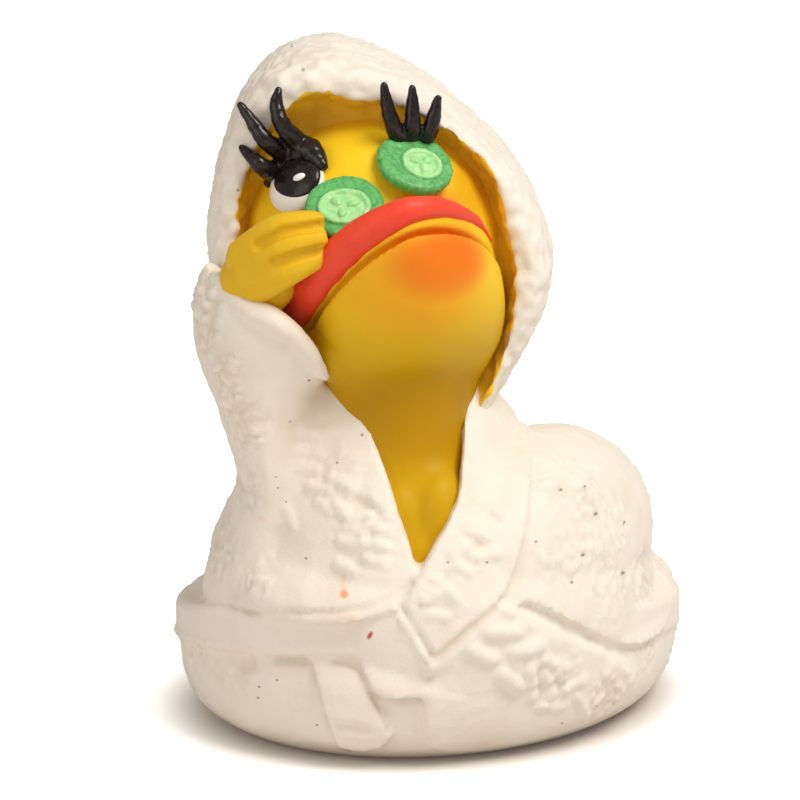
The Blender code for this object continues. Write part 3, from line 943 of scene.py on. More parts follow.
@dataclass(frozen=True)
class FlatPaint:
    """Brushed paint of one colour whose tone, gloss and surface vary a little.

    Attributes:
        name: The material's name.
        colour: The main colour.
        other: The colour that it drifts to.
        roughness: Its roughness.
        grain: The size of the drift, in millimetres.
        drift: How much of the other colour shows.
        relief: The depth of the brush marks, in millimetres.
        specular: How strongly it reflects.
        dust_and_glint: The colour of its pale specks: dusty specks that on the black lashes also serve as
            painted glints.
        dust_and_glint_share: How strong they are.
    """

    name: str
    colour: Colour
    other: Colour
    roughness: float
    grain: float = 3.0
    drift: float = 0.5
    relief: float = 0.03
    specular: float = 0.35
    dust_and_glint: Colour = (0.7, 0.62, 0.5)
    dust_and_glint_share: float = 0.25

    def material(self) -> bpy.types.Material:
        """Makes the paint.

        Returns:
            The material.
        """
        shader = Shader(self.name, self.roughness, self.specular)
        drift = shader.noise(self.grain).ramp(0.45, 0.75) * self.drift
        # Pale dusty specks; on the black lashes they also serve as painted glints.
        dust_and_glint = shader.noise(0.5, 4.0, 0.7).ramp(0.66, 0.74) * self.dust_and_glint_share * self.drift
        colour = shader.mix(drift, self.colour, self.other)
        shader.set("Base Color", shader.mix(dust_and_glint, colour, self.dust_and_glint))
        shader.set("Roughness", shader.noise(1.4) * 0.16 + (self.roughness - 0.08))
        shader.bump(shader.noise(0.7, 3.0), self.relief)
        return shader.material


LIP_RED = FlatPaint("lip_paint", (0.86, 0.068, 0.026), (0.8, 0.038, 0.014), 0.48, 5.0, 0.5)
# Its pale dusty specks also serve as painted glints on the lashes.
GLOSS_BLACK = FlatPaint("lash_paint", (0.012, 0.008, 0.007), (0.03, 0.02, 0.016), 0.2, 1.6, 0.6, 0.04)
EYE_WHITE = FlatPaint("eye_paint", (0.88, 0.83, 0.76), (0.86, 0.68, 0.56), 0.42, 4.0, 0.6)
EYE_LIGHT = FlatPaint("eye_light_paint", (0.93, 0.92, 0.9), (0.88, 0.86, 0.82), 0.35, 1.0, 0.3)


@dataclass(frozen=True)
class CucumberPaint:
    """Mottled green skin round pale green flesh."""

    rim: Colour = (0.13, 0.47, 0.13)
    dark: Colour = (0.06, 0.3, 0.07)
    flesh: Colour = (0.34, 0.7, 0.27)
    pale: Colour = (0.62, 0.88, 0.5)
    roughness: float = 0.45
    mottle_share: float = 0.8
    reach: float = 6.0
    edge: float = 0.12

    def material(self, name: str, centre: Vector, turn: Matrix, core: Spot) -> bpy.types.Material:
        """Makes the paint of a slice.

        Args:
            name: The material's name.
            centre: The middle of its flesh.
            turn: A rotation whose columns are across, up and out of the slice.
            core: The flesh's half sizes.

        Returns:
            The material.
        """
        shader = Shader(name, self.roughness, 0.45)
        mottle = shader.noise(0.9, 4.0, 0.7).ramp(0.4, 0.66) * self.mottle_share
        rim = shader.mix(mottle, self.rim, self.dark)
        raised = shader.attribute("relief").ramp(-0.05, 0.3)
        light = (shader.noise(0.7, 3.0) * 0.6 + raised * 0.7).ramp(0.2, 0.9)
        pale = shader.mix(light, self.flesh, self.pale)
        flesh = shader.spot(centre, (*core, self.reach), self.edge, turn)
        shader.set("Base Color", shader.mix(flesh, rim, pale))
        shader.set("Roughness", shader.noise(1.0) * 0.2 + (self.roughness - 0.1))
        shader.bump(shader.noise(0.6, 3.0), 0.05)
        return shader.material


@dataclass(frozen=True)
class BodyEgg:
    """The egg that the body follows in plan, turned so that its tail end points away and to the right."""

    half_width: float = 34.9
    half_length: float = 41.8
    turn: float = 25.0

    def axes(self) -> Matrix:
        """The egg's rotation."""
        return Matrix.Rotation(math.radians(-self.turn), 3, "Z")

    def ring(self, share: float, height: float, grow: float = 0.0, sides: int = 96) -> list[Vector]:
        """The points of a level ring round the body, at share of its size.

        Args:
            share: The ring's size, as a share of the body's.
            height: Its height.
            grow: How much to add to its half sizes.
            sides: How many points it has.

        Returns:
            The ring's points.
        """
        across = self.axes() @ Vector((self.half_width * share + grow, 0, 0))
        along = self.axes() @ Vector((0, self.half_length * share + grow, 0))
        return ellipse(BASE_CENTRE + Vector((0, 0, height)), across, along, sides)

    def stands_out(self, point: Vector) -> float:
        """About how far a point stands out from the full egg, in millimetres.

        Args:
            point: The point.

        Returns:
            The distance, below zero inside.
        """
        local = self.axes().transposed() @ (point - BASE_CENTRE)
        share = math.hypot(local.x / self.half_width, local.y / self.half_length)
        return (share - 1.0) * self.half_width


EGG = BodyEgg()


@dataclass(frozen=True)
class Patch:
    """A patch of terry tufts.

    Attributes:
        pixel: Where the photograph shows its middle.
        radius: How far it reaches, in millimetres.
        height: How high its tufts stand.
        grain: The size of a tuft.
    """

    pixel: Spot
    radius: float
    height: float
    grain: float


@dataclass(frozen=True)
class Terry:
    """Irregular loops of terry with creases between them.

    Attributes:
        twist: How fast the loops' places wander, in grains.
        wander: How far they wander.
        steepness: How steep a loop's sides are.
        loop_share: How high a loop's flat top stands.
        fall: How fast a dome falls off from its middle.
        dome_share: How high a dome stands.
        sink: How far the creases lie under the plain surface.
    """

    twist: float = 0.6
    wander: float = 0.8
    steepness: float = 1.9
    loop_share: float = 0.75
    fall: float = 1.5
    dome_share: float = 0.4
    sink: float = 0.45

    def height(self, point: Vector, grain: float) -> float:
        """The terry's height at a point.

        Args:
            point: The point.
            grain: The size of a loop.

        Returns:
            The height, from about -0.6 to 1.
        """
        spot = point / grain
        wander = noise.noise_vector(spot * self.twist) * self.wander
        near = noise.voronoi(spot + wander)[0]
        loop = min(1.0, self.steepness * (near[1] - near[0])) * self.loop_share
        return loop + (1.0 - self.fall * near[0]) * self.dome_share - self.sink


TERRY = Terry()


@dataclass
class Robe:
    """The bathrobe's body: skirt, upper part, belt, panels, folded wing, tail and raised sleeve."""

    voxel: float = 0.52
    softening: int = 1
    skirt_height: float = 18.5
    skirt_profile: tuple[Spot, ...] = (
        (0.0, 0.815), (0.05, 0.87), (0.19, 0.955), (0.43, 0.995), (0.7, 1.0), (0.89, 0.96),
        (1.0, 0.87),
    )
    torso_rows: tuple[tuple[float, ...], ...] = (
        (12.0, 0.0, 6.5, 31.0, 38.5),
        (18.0, -0.5, 6.0, 32.0, 39.0),
        (24.0, -1.0, 5.0, 30.6, 37.6),
        (30.0, -2.0, 3.5, 27.0, 34.0),
        (36.0, -3.6, 0.5, 22.8, 28.4),
        (41.0, -5.6, -2.5, 18.6, 22.4),
        (46.0, -7.0, -4.0, 15.0, 17.4),
        (51.4, -7.4, -4.0, 12.8, 13.6),
    )
    bag_rows: tuple[tuple[float, ...], ...] = (
        (17.0, 0.9, 1.6, -6.0),
        (20.5, 0.93, 1.6, -6.2),
        (23.5, 0.925, 1.4, -5.8),
        (27.0, 0.87, 0.8, -5.0),
        (31.0, 0.77, 0.0, -4.5),
        (36.0, 0.64, -1.0, -4.0),
    )
    shoulder_centre: Point = (3.0, 2.0, 38.0)
    shoulder_half: Point = (10.5, 12.0, 11.0)
    robe_wall: float = 1.6
    lapel_wall: float = 2.4
    short_strap_wall: float = 2.1
    long_strap_wall: float = 1.2
    wing_wall: float = 1.2
    flap_wall: float = 2.0
    flap_fade: float = 0.6
    panel_back: float = -4.3
    wing_back: float = 60.0
    neck_cut_back: float = -17.7
    open_left: tuple[Spot, ...] = (
        (-15.0, 57.6), (-12.6, 53.6), (-9.6, 47.8), (-7.4, 42.9), (-5.4, 36.6), (-3.2, 31.2),
    )
    open_point: Spot = (-1.8, 27.8)
    open_right: tuple[Spot, ...] = ((0.4, 31.0), (3.7, 37.2), (4.8, 43.9), (6.0, 51.8))
    open_top: tuple[Spot, ...] = ((8.4, 57.0), (8.0, 62.0), (-16.3, 62.0))
    overhang: float = 0.4
    left_panel_top: Spot = (-18.4, 55.5)
    left_panel_hem: tuple[Spot, ...] = (
        (-2.2, 27.0), (-3.6, 24.8), (-7.8, 22.9), (-12.6, 21.6), (-18.7, 20.9), (-25.0, 20.4),
    )
    left_panel_side: tuple[Spot, ...] = ((-29.0, 22.5), (-28.0, 30.0), (-26.2, 38.0), (-24.0, 48.0))
    lapel_side: tuple[Spot, ...] = (
        (9.3, 49.6), (13.4, 45.0), (13.4, 36.2), (11.0, 27.1), (6.9, 21.6), (4.1, 17.9),
    )
    lapel_tip: tuple[Spot, ...] = ((0.4, 15.6), (-4.0, 21.9), (-2.4, 26.6))
    belt_height: float = 10.8
    belt_width: float = 5.8
    belt_rise: float = 9.0
    belt_stands_out: float = 0.6
    ridge_width: float = 1.5
    ridge_stands_out: float = 1.05
    ridge_outline: tuple[Spot, ...] = ((-45.0, 0.0), (-4.0, 0.0), (-2.0, 12.0), (-4.0, 30.0), (-45.0, 30.0))
    rounding: float = 0.7
    short_strap: tuple[Spot, ...] = (
        (-9.6, 22.0), (-5.0, 23.4), (-2.1, 19.3), (1.0, 14.4), (0.6, 12.0), (-3.1, 11.2),
        (-7.0, 11.5), (-9.6, 15.0),
    )
    long_strap: tuple[Spot, ...] = (
        (-16.4, 17.0), (-10.6, 17.0), (-8.4, 11.6), (-5.6, 6.2), (-6.6, 3.6), (-9.7, 2.5),
        (-12.6, 3.4), (-14.4, 7.9), (-15.6, 12.0),
    )
    wing_centre: Point = (15.0, -5.0, 25.5)
    wing_half: Point = (13.2, 26.0, 15.6)
    wing_outline: tuple[Spot, ...] = (
        (10.2, 24.4), (13.8, 23.4), (19.7, 19.4), (24.0, 16.0), (28.5, 13.2), (34.0, 13.6),
        (38.0, 24.0), (34.0, 38.0), (22.0, 46.0), (9.6, 45.6), (6.5, 34.0),
    )
    flap_outline: tuple[Spot, ...] = (
        (8.4, 24.2), (13.7, 21.2), (18.0, 18.3), (22.0, 15.6), (25.6, 12.7), (28.6, 9.0),
        (27.0, 4.0), (16.0, 1.6), (2.0, 1.6), (-1.0, 10.0), (2.0, 20.0),
    )
    tail_reach: float = 35.0
    tail_height: float = 22.0
    tail_half: Point = (8.5, 13.0, 8.0)
    tail_pitch: float = 24.0
    sleeve_rows: tuple[tuple[float, ...], ...] = (
        (-21.9, -6.0, 17.4, 10.2, 0.0, 16.0),
        (-22.1, -6.6, 21.0, 10.3, 0.0, 16.4),
        (-22.0, -7.4, 25.0, 9.4, 0.0, 16.2),
        (-21.6, -9.5, 31.0, 7.2, 0.0, 13.5),
        (-21.2, -11.5, 38.0, 6.2, 2.0, 12.0),
        (-22.6, -13.0, 45.0, 6.8, 8.0, 11.0),
        (-24.4, -15.0, 52.5, 8.6, 21.0, 10.5),
        (-23.9, -17.0, 58.2, 10.9, 35.0, 10.2),
        (-22.2, -18.0, 61.2, 11.5, 41.0, 9.6),
    )
    mouth_depth: float = 3.5
    cuff_wall: float = 2.2
    patches: tuple[Patch, ...] = (
        Patch((340, 470), 7.0, 0.3, 2.1),
        Patch((368, 530), 7.0, 0.35, 2.6),
        Patch((236, 420), 6.5, 0.7, 1.9),
        Patch((243, 480), 6.0, 0.6, 1.9),
        Patch((213, 360), 6.5, 0.75, 1.9),
        Patch((200, 300), 6.5, 0.7, 1.9),
        Patch((222, 545), 6.5, 0.5, 1.8),
        Patch((258, 575), 5.0, 0.3, 2.2),
        Patch((475, 520), 5.5, 0.25, 1.8),
        Patch((460, 560), 5.0, 0.3, 2.0),
        Patch((440, 600), 5.0, 0.3, 2.0),
        Patch((560, 480), 9.0, 0.35, 2.3),
        Patch((605, 520), 9.5, 0.45, 2.1),
        Patch((565, 560), 7.5, 0.35, 2.2),
        Patch((610, 590), 7.0, 0.4, 2.0),
        Patch((645, 590), 8.0, 0.5, 2.1),
        Patch((650, 640), 7.0, 0.45, 2.0),
        Patch((520, 655), 7.0, 0.25, 2.2),
        Patch((560, 680), 7.0, 0.3, 2.2),
        Patch((610, 690), 7.0, 0.4, 2.0),
        Patch((235, 665), 7.0, 0.2, 2.2),
        Patch((196, 650), 7.0, 0.4, 1.8),
        Patch((300, 700), 8.0, 0.14, 2.4),
        Patch((440, 720), 9.0, 0.14, 2.2),
    )
    modelling: tuple[Stroke, ...] = (
        *strokes(1.5, 0.75,
            (472, 651, 491, 660), (491, 633, 517, 632), (517, 652, 540, 647), (501, 675, 520, 688),
        ),
        *strokes(1.2, 0.6,
            (545, 660, 567, 668), (529, 671, 533, 697), (545, 673, 551, 695), (567, 687, 583, 681),
        ),
        *strokes(1.0, 0.45,
            (553, 663, 564, 679), (577, 695, 585, 716), (540, 706, 561, 708), (499, 604, 512, 614),
        ),
        *strokes(1.2, 0.55,
            (468, 530, 487, 538), (452, 556, 463, 548), (477, 557, 495, 554), (445, 588, 457, 600),
        ),
        *strokes(1.0, 0.45,
            (433, 615, 447, 617), (425, 601, 437, 593), (491, 509, 501, 515), (457, 566, 468, 572),
        ),
        *strokes(1.3, 0.5,
            (302, 451, 317, 452), (302, 467, 315, 469), (311, 486, 330, 489), (303, 431, 319, 434),
        ),
        *strokes(1.3, 0.6,
            (330, 478, 352, 486), (337, 505, 354, 526), (346, 526, 362, 534), (341, 540, 384, 548),
        ),
        *strokes(1.2, 0.5,
            (352, 521, 368, 515), (365, 526, 386, 532), (338, 564, 354, 572), (368, 558, 384, 564),
        ),
        *strokes(1.1, 0.35,
            (255, 581, 268, 584), (287, 510, 293, 526), (318, 500, 330, 512), (375, 500, 388, 515),
        ),
        *trail(0.7, -0.5, (203, 600), (250, 611), (300, 613), (337, 612), (366, 607), (398, 596), (411, 582)),
        *trail(0.7, -0.5, (190, 652), (280, 660), (345, 664)),
        *trail(0.8, 0.4, (395, 607), (412, 632), (428, 660), (431, 674)),
        *trail(0.9, -0.7, (437, 659), (468, 632), (501, 602)),
        *trail(0.9, -0.7, (400, 607), (432, 658)),
        *trail(0.7, -0.45, (345, 664), (357, 668), (366, 684), (373, 696), (398, 700), (420, 699), (432, 676)),
        *trail(0.7, -0.45, (311, 665), (318, 690), (331, 732)),
        *trail(0.6, -0.4, (374, 699), (388, 729), (384, 747)),
        *trail(0.6, -0.4, (331, 732), (350, 753)),
        *strokes(1.2, -0.4,
            (243, 668, 252, 662), (341, 728, 365, 730), (356, 500, 372, 508), (480, 545, 470, 560),
        ),
        *strokes(0.7, -0.45,
            (561, 490, 563, 492), (585, 487, 587, 488), (596, 514, 599, 516), (624, 522, 626, 525),
        ),
        *strokes(0.7, -0.45,
            (583, 555, 585, 557), (623, 573, 626, 577), (572, 582, 574, 584), (595, 592, 599, 596),
        ),
    )
    crease: tuple[tuple[Spot, float], ...] = (
        ((325, 402), 2.6),
        ((306, 400), 3.6),
        ((300, 425), 4.5),
        ((300, 455), 4.5),
        ((299, 485), 4.5),
        ((297, 515), 4.0),
    )
    crease_softening: int = 160
    crease_depth: float = 3.0
    crease_fade: float = 1.8
    cuff_edge: tuple[tuple[Spot, float], ...] = (
        ((219, 277), -21.8),
        ((243, 305), -26.2),
        ((272, 319), -27.4),
        ((299, 340), -26.6),
        ((313, 359), -25.0),
        ((325, 377), -22.5),
    )
    cuff_edge_halves: tuple[float, ...] = (0.9, 1.5, 1.8, 1.5, 1.2, 0.7)
    back_from: float = 2.0
    back_fade: float = 8.0
    back_terry: float = 0.4
    back_grain: float = 1.8
    wide_lumps: Spot = (7.5, 0.3)
    small_lumps: Spot = (3.2, 0.14)
    fine_lumps: Spot = (1.3, 0.06)
    belt_lumps: float = 0.35
    plain_foot: float = 0.7
    foot_fade: float = 3.0
    facing_down: float = -0.85
    belt_face: tuple[float, ...] = (0.3, 0.5, 1.3, 0.4)
    placed: list[tuple[Patch, Vector]] = field(default_factory=list)

    def skirt(self, grow: float = 0.0, fade: float = 0.02) -> bpy.types.Object:
        """The robe under the belt, down to the flat base.

        Args:
            grow: How much larger it is than the robe itself.
            fade: The share of its height over which it grows so, from nothing at the base.

        Returns:
            The closed form.
        """
        rings = []
        for level, share in smooth_rows(self.skirt_profile, 3):
            rings.append(EGG.ring(share, self.skirt_height * level, grow * min(1.0, level / fade)))
        return Clay.loft("skirt", rings)

    def torso(self, grow: float = 0.0) -> bpy.types.Object:
        """The robe over the belt, up to the shoulders."""
        return Clay.level_loft("torso", self.torso_rows, grow)

    def wing(self, grow: float = 0.0) -> bpy.types.Object:
        """The ball of the folded wing in its sleeve."""
        half = Vector(self.wing_half) + Vector((grow, grow, grow))
        return Clay.ball("wing", Vector(self.wing_centre), half, EGG.axes(), 5)

    def bag(self) -> bpy.types.Object:
        """The robe's front where it bags out over the belt.

        Returns:
            The closed form.
        """
        rings = []
        for height, share, across, ahead in smooth_rows(self.bag_rows, 2):
            rings.append([point + Vector((across, ahead, 0)) for point in EGG.ring(share, height, sides=80)])
        return Clay.loft("bag", rings)

    def tail(self) -> bpy.types.Object:
        """The tail, which lifts the robe at the back.

        Returns:
            The closed form.
        """
        place = BASE_CENTRE + EGG.axes() @ Vector((0, self.tail_reach, self.tail_height))
        turn = EGG.axes() @ Matrix.Rotation(math.radians(self.tail_pitch), 3, "X")
        return Clay.ball("tail", place, Vector(self.tail_half), turn)

    def band_lift(self, point: Vector) -> float:
        """How far a band round the body is raised at a point, most over the chest."""
        ahead = (BASE_CENTRE.y - point.y) / EGG.half_length
        return self.belt_rise * ((1 + ahead) / 2) ** 2

    def band(self, height: float, width: float, stands_out: float) -> bpy.types.Object:
        """A rounded band round the body, which rises over the chest.

        Args:
            height: The height of its middle at the back.
            width: Its width.
            stands_out: How far it stands out from the body.

        Returns:
            The closed form.
        """
        half = width / 2
        flat = half - self.rounding
        rings = []
        for level, inset in ((-half, self.rounding), (-flat, 0.0), (flat, 0.0), (half, self.rounding)):
            ring = EGG.ring(1.0, height + level, stands_out - inset)
            for point in ring:
                point.z += self.band_lift(point)
            rings.append(ring)
        return Clay.loft("band", rings)

    def panel(
        self, name: str, outline: Sequence[Spot], forms: Sequence[bpy.types.Object], far: float | None = None
    ) -> bpy.types.Object:
        """What lies inside an outline, and nearer than far, of several forms that are joined first.

        Args:
            name: The panel's name.
            outline: Its outline in x and z.
            forms: The forms, which are used up.
            far: Where it ends in depth, or None for the panels' own back.

        Returns:
            The closed form.
        """
        whole = forms[0]
        for form in forms[1:]:
            Clay.carve(whole, form, Cut.JOIN)
        slab = Clay.slab(name, outline, far=self.panel_back if far is None else far)
        return Clay.carve(whole, slab, Cut.KEEP_INSIDE)

    def draped(
        self, name: str, outline: Sequence[Spot], grow: float, far: float | None = None
    ) -> bpy.types.Object:
        """A flat panel of the robe that lies on the body, grow thick, inside the outline."""
        return self.panel(name, outline, (self.torso(grow), self.skirt(grow), self.wing(grow)), far)

    def shifted(self, points: Sequence[Spot], across: float) -> list[Spot]:
        """The points moved across the open front."""
        return [(x + across, z) for x, z in points]

    def panels(self) -> list[bpy.types.Object]:
        """The left front, the lower front, the wing's cover, the lapel and the two ends of the belt.

        Returns:
            The panels.
        """
        left_edge = self.shifted(self.open_left, self.overhang)
        right_edge = self.shifted(self.open_right, -self.overhang)
        left = (self.left_panel_top, *left_edge, *self.left_panel_hem, *self.left_panel_side)
        right = (*self.lapel_side, *self.lapel_tip, *right_edge)
        flap = (self.torso(self.flap_wall), self.skirt(self.flap_wall, self.flap_fade))
        return [
            self.panel("left_panel", left, (self.torso(self.robe_wall), self.bag())),
            self.panel("flap", self.flap_outline, flap),
            self.draped("folded_wing", self.wing_outline, self.wing_wall, self.wing_back),
            self.draped("lapel", right, self.lapel_wall),
            self.draped("short_strap", self.short_strap, self.short_strap_wall),
            self.draped("long_strap", self.long_strap, self.long_strap_wall),
        ]

    def sleeve(self) -> bpy.types.Object:
        """The raised sleeve, from the belt to the cuff, with the cuff's mouth hollowed.

        Returns:
            The closed form.
        """
        rings = []
        for x, y, z, half, tip, depth in smooth_rows(self.sleeve_rows, 4):
            across = Matrix.Rotation(math.radians(tip), 3, "Y") @ Vector((half, 0, 0))
            rings.append(ellipse(Vector((x, y, z)), across, Vector((0, depth, 0)), 64))
        arm = Clay.loft("sleeve", rings)
        x, y, z, half, tip, depth = self.sleeve_rows[-1]
        turn = Matrix.Rotation(math.radians(tip), 3, "Y")
        inside = Vector((half - self.cuff_wall, depth - self.cuff_wall, self.mouth_depth))
        return Clay.carve(arm, Clay.ball("mouth", Vector((x, y, z)), inside, turn), Cut.REMOVE)

    def open_front(self, form: bpy.types.Object) -> bpy.types.Object:
        """Cuts the robe's open front out of the upper part."""
        outline = (*self.open_left, self.open_point, *self.open_right, *self.open_top)
        return Clay.carve(form, Clay.slab("open_front", outline, far=self.neck_cut_back), Cut.REMOVE)

    def on_belt(self, point: Vector) -> float:
        """1 on the belt's own face and 0 away from it.

        Args:
            point: A point of the robe.

        Returns:
            The share.
        """
        margin, fade, face, face_fade = self.belt_face
        level = abs(point.z - self.belt_height - self.band_lift(point))
        on_face = ease((face - EGG.stands_out(point)) / face_fade)
        return ease((self.belt_width / 2 + margin - level) / fade) * on_face

    def near_crease(self, point: Vector, creases: Sequence[tuple[Vector, float]]) -> float:
        """1 along the crease between sleeve and chest, as seen from the front, and 0 away from it.

        Args:
            point: A point of the robe.
            creases: Places along the crease, each with its reach.

        Returns:
            The share.
        """
        share = 0.0
        for place, reach in creases:
            if point.y < place.y + self.crease_depth:
                off = math.hypot(point.x - place.x, point.z - place.z)
                share = max(share, ease((reach - off) / self.crease_fade))
        return share

    def relief(self, point: Vector, normal: Vector) -> float:
        """How far the surface is sculpted up at a point.

        Args:
            point: A point of the robe.
            normal: Its normal.

        Returns:
            The height in millimetres.
        """
        if point.z < self.plain_foot or normal.z < self.facing_down:
            return 0.0
        foot = ease((point.z - self.plain_foot) / self.foot_fade)
        wobble = lumps(point, *self.wide_lumps) + lumps(point, *self.small_lumps)
        plain = 1.0 - self.on_belt(point)
        height = wobble * (self.belt_lumps + (1.0 - self.belt_lumps) * plain)
        behind = ease((point.y - self.back_from) / self.back_fade)
        if behind > 0.0:
            height += behind * plain * self.back_terry * TERRY.height(point, self.back_grain)
        for patch, centre in self.placed:
            reach = (point - centre).length / patch.radius
            if reach < 1.0:
                tuft = patch.height * TERRY.height(point, patch.grain)
                height += plain * ease((1.0 - reach) * 2.0) * tuft
        return (height + lumps(point, *self.fine_lumps)) * foot

    def forms(self) -> list[bpy.types.Object]:
        """Makes the closed forms that the robe is fused from.

        Returns:
            The forms.
        """
        ridge_height = self.belt_height - (self.belt_width - self.ridge_width) / 2
        ridge = self.band(ridge_height, self.ridge_width, self.ridge_stands_out)
        cuff_points = [VIEW.at_depth(*place) for place in self.cuff_edge]
        return [
            self.open_front(self.torso()),
            self.skirt(),
            self.band(self.belt_height, self.belt_width, self.belt_stands_out),
            Clay.carve(ridge, Clay.slab("ridge_outline", self.ridge_outline), Cut.KEEP_INSIDE),
            Clay.ball("shoulder", Vector(self.shoulder_centre), Vector(self.shoulder_half)),
            self.wing(),
            self.tail(),
            *self.panels(),
            self.sleeve(),
            Clay.bar("cuff_edge", cuff_points, self.cuff_edge_halves),
        ]

    def build(self) -> list[bpy.types.Object]:
        """Makes the robe's body and dresses it.

        Returns:
            The robe.
        """
        forms = self.forms()
        robe = Clay.fuse("robe", forms, self.voxel, self.softening)
        tree = Clay.tree(robe)
        creases = [(VIEW.hit(tree, pixel), reach) for pixel, reach in self.crease]
        Clay.soften(robe, lambda point: self.near_crease(point, creases), self.crease_softening)
        tree = Clay.tree(robe)
        places = [(patch, VIEW.hit(tree, patch.pixel)) for patch in self.patches]
        self.placed = [(patch, place) for patch, place in places if place is not None]
        Clay.sculpt(robe, self.relief, self.modelling)
        marks = [(mark, VIEW.hit(tree, mark.pixel)) for mark in ROBE_MARKS]
        marks = [(mark, place) for mark, place in marks if place is not None]
        return [Clay.finish(robe, RobePaint().material(marks, False), "robe_paint")]


@dataclass
class Hood:
    """The hood, a deep shell whose opening holds the head. Its inside is painted yellow."""

    voxel: float = 0.46
    softening: int = 2
    middle: Spot = (-7.4, 70.0)
    outline: tuple[Spot, ...] = (
        (17.3, 66.0), (14.0, 77.2), (9.4, 83.6), (-0.1, 92.0), (-8.0, 96.2), (-15.4, 98.0),
        (-22.4, 95.4), (-27.0, 89.2), (-30.2, 79.6), (-31.3, 70.0), (-29.4, 60.0), (-24.0, 50.5),
        (-14.0, 43.5), (-2.0, 41.0), (7.0, 44.4), (13.4, 54.6),
    )
    rows: tuple[Spot, ...] = (
        (-15.6, 0.86), (-14.2, 0.925), (-11.5, 0.97), (-5.7, 0.995), (0.3, 1.0), (6.2, 0.98),
        (12.0, 0.915), (18.0, 0.8), (22.5, 0.63), (25.4, 0.43), (27.1, 0.22), (27.6, 0.06),
    )
    opening: tuple[Spot, ...] = (
        (11.0, 66.4), (9.4, 75.0), (7.8, 80.6), (1.4, 86.6), (-5.4, 89.8), (-11.5, 90.5),
        (-15.9, 91.2), (-20.2, 88.2), (-25.0, 80.0), (-26.4, 70.0), (-24.4, 60.0), (-18.6, 51.0),
        (-11.0, 45.6), (-2.0, 44.4), (5.6, 47.0), (9.8, 57.0),
    )
    opening_rows: tuple[Spot, ...] = (
        (-20.0, 1.06), (-14.5, 1.02), (-12.4, 0.995), (-11.0, 0.94), (-10.2, 0.84), (-9.8, 0.6),
    )
    terry: float = 0.3
    grain: float = 1.8
    wide_lumps: Spot = (8.0, 0.4)
    small_lumps: Spot = (3.0, 0.2)
    rim_wave: Spot = (1.9, 0.55)
    rim_from: float = -9.0
    rim_fade: float = 4.0
    rim_terry_loss: float = 0.6
    lining_edge: float = 1.035
    lining_back: float = 3.0
    unlined: float = -5.0

    def rings(self, outline: Sequence[Spot], rows: Sequence[Spot]) -> list[Ring]:
        """Upright copies of a front outline at the rows' depths, sized about the hood's middle.

        Args:
            outline: The outline in x and z.
            rows: Depths, each with a share of the outline's size.

        Returns:
            The rings.
        """
        middle = Vector(self.middle)
        loop = closed_loop(outline, OUTLINE_STEPS)
        made = []
        for depth, share in smooth_rows(rows, 3):
            sized = [middle + (point - middle) * share for point in loop]
            made.append([Vector((x, depth, z)) for x, z in sized])
        return made

    def inside(self, obj: bpy.types.Object) -> np.ndarray:
        """About how far in from the opening's edge each point of the hood lies, in millimetres.

        Args:
            obj: The hood.

        Returns:
            The distances, below zero outside the opening.
        """
        middle = np.array(self.middle)
        loop = np.array(closed_loop(self.opening, 6)) - middle
        spots = np.array([(vertex.co.x, vertex.co.z) for vertex in obj.data.vertices]) - middle
        sizes = np.linalg.norm(loop, axis=1)
        turns = np.arctan2(loop[:, 1], loop[:, 0])
        reach = np.interp(np.arctan2(spots[:, 1], spots[:, 0]), turns, sizes, period=math.tau)
        return (self.lining_edge - np.linalg.norm(spots, axis=1) / reach) * sizes.mean()

    def relief(self, point: Vector, normal: Vector) -> float:
        """How far the surface is sculpted up at a point.

        Args:
            point: A point of the hood.
            normal: Its normal.

        Returns:
            The height in millimetres.
        """
        wobble = lumps(point, *self.wide_lumps) + lumps(point, *self.small_lumps)
        front = ease((self.rim_from - point.y) / self.rim_fade)
        wave = lumps(point, *self.rim_wave) * front
        terry = self.terry * (1.0 - self.rim_terry_loss * front)
        return wobble + wave + terry * TERRY.height(point, self.grain)

    def build(self) -> list[bpy.types.Object]:
        """Makes the hood and dresses it.

        Returns:
            The hood.
        """
        shell = Clay.loft("hood", self.rings(self.outline, self.rows))
        inside = Clay.loft("opening", self.rings(self.opening, self.opening_rows))
        hood = Clay.fuse("hood", [Clay.carve(shell, inside, Cut.REMOVE)], self.voxel, self.softening)
        depths = [vertex.co.y for vertex in hood.data.vertices]
        lining = [
            float(inner) if depth < self.lining_back else self.unlined
            for inner, depth in zip(self.inside(hood), depths)
        ]
        tree = Clay.tree(hood)
        Clay.sculpt(hood, self.relief)
        hood.data.attributes.new("lining", "FLOAT", "POINT").data.foreach_set("value", lining)
        marks = [(mark, VIEW.hit(tree, mark.pixel)) for mark in HOOD_MARKS]
        marks = [(mark, place) for mark, place in marks if place is not None]
        return [Clay.finish(hood, RobePaint().material(marks, True), "robe_paint")]


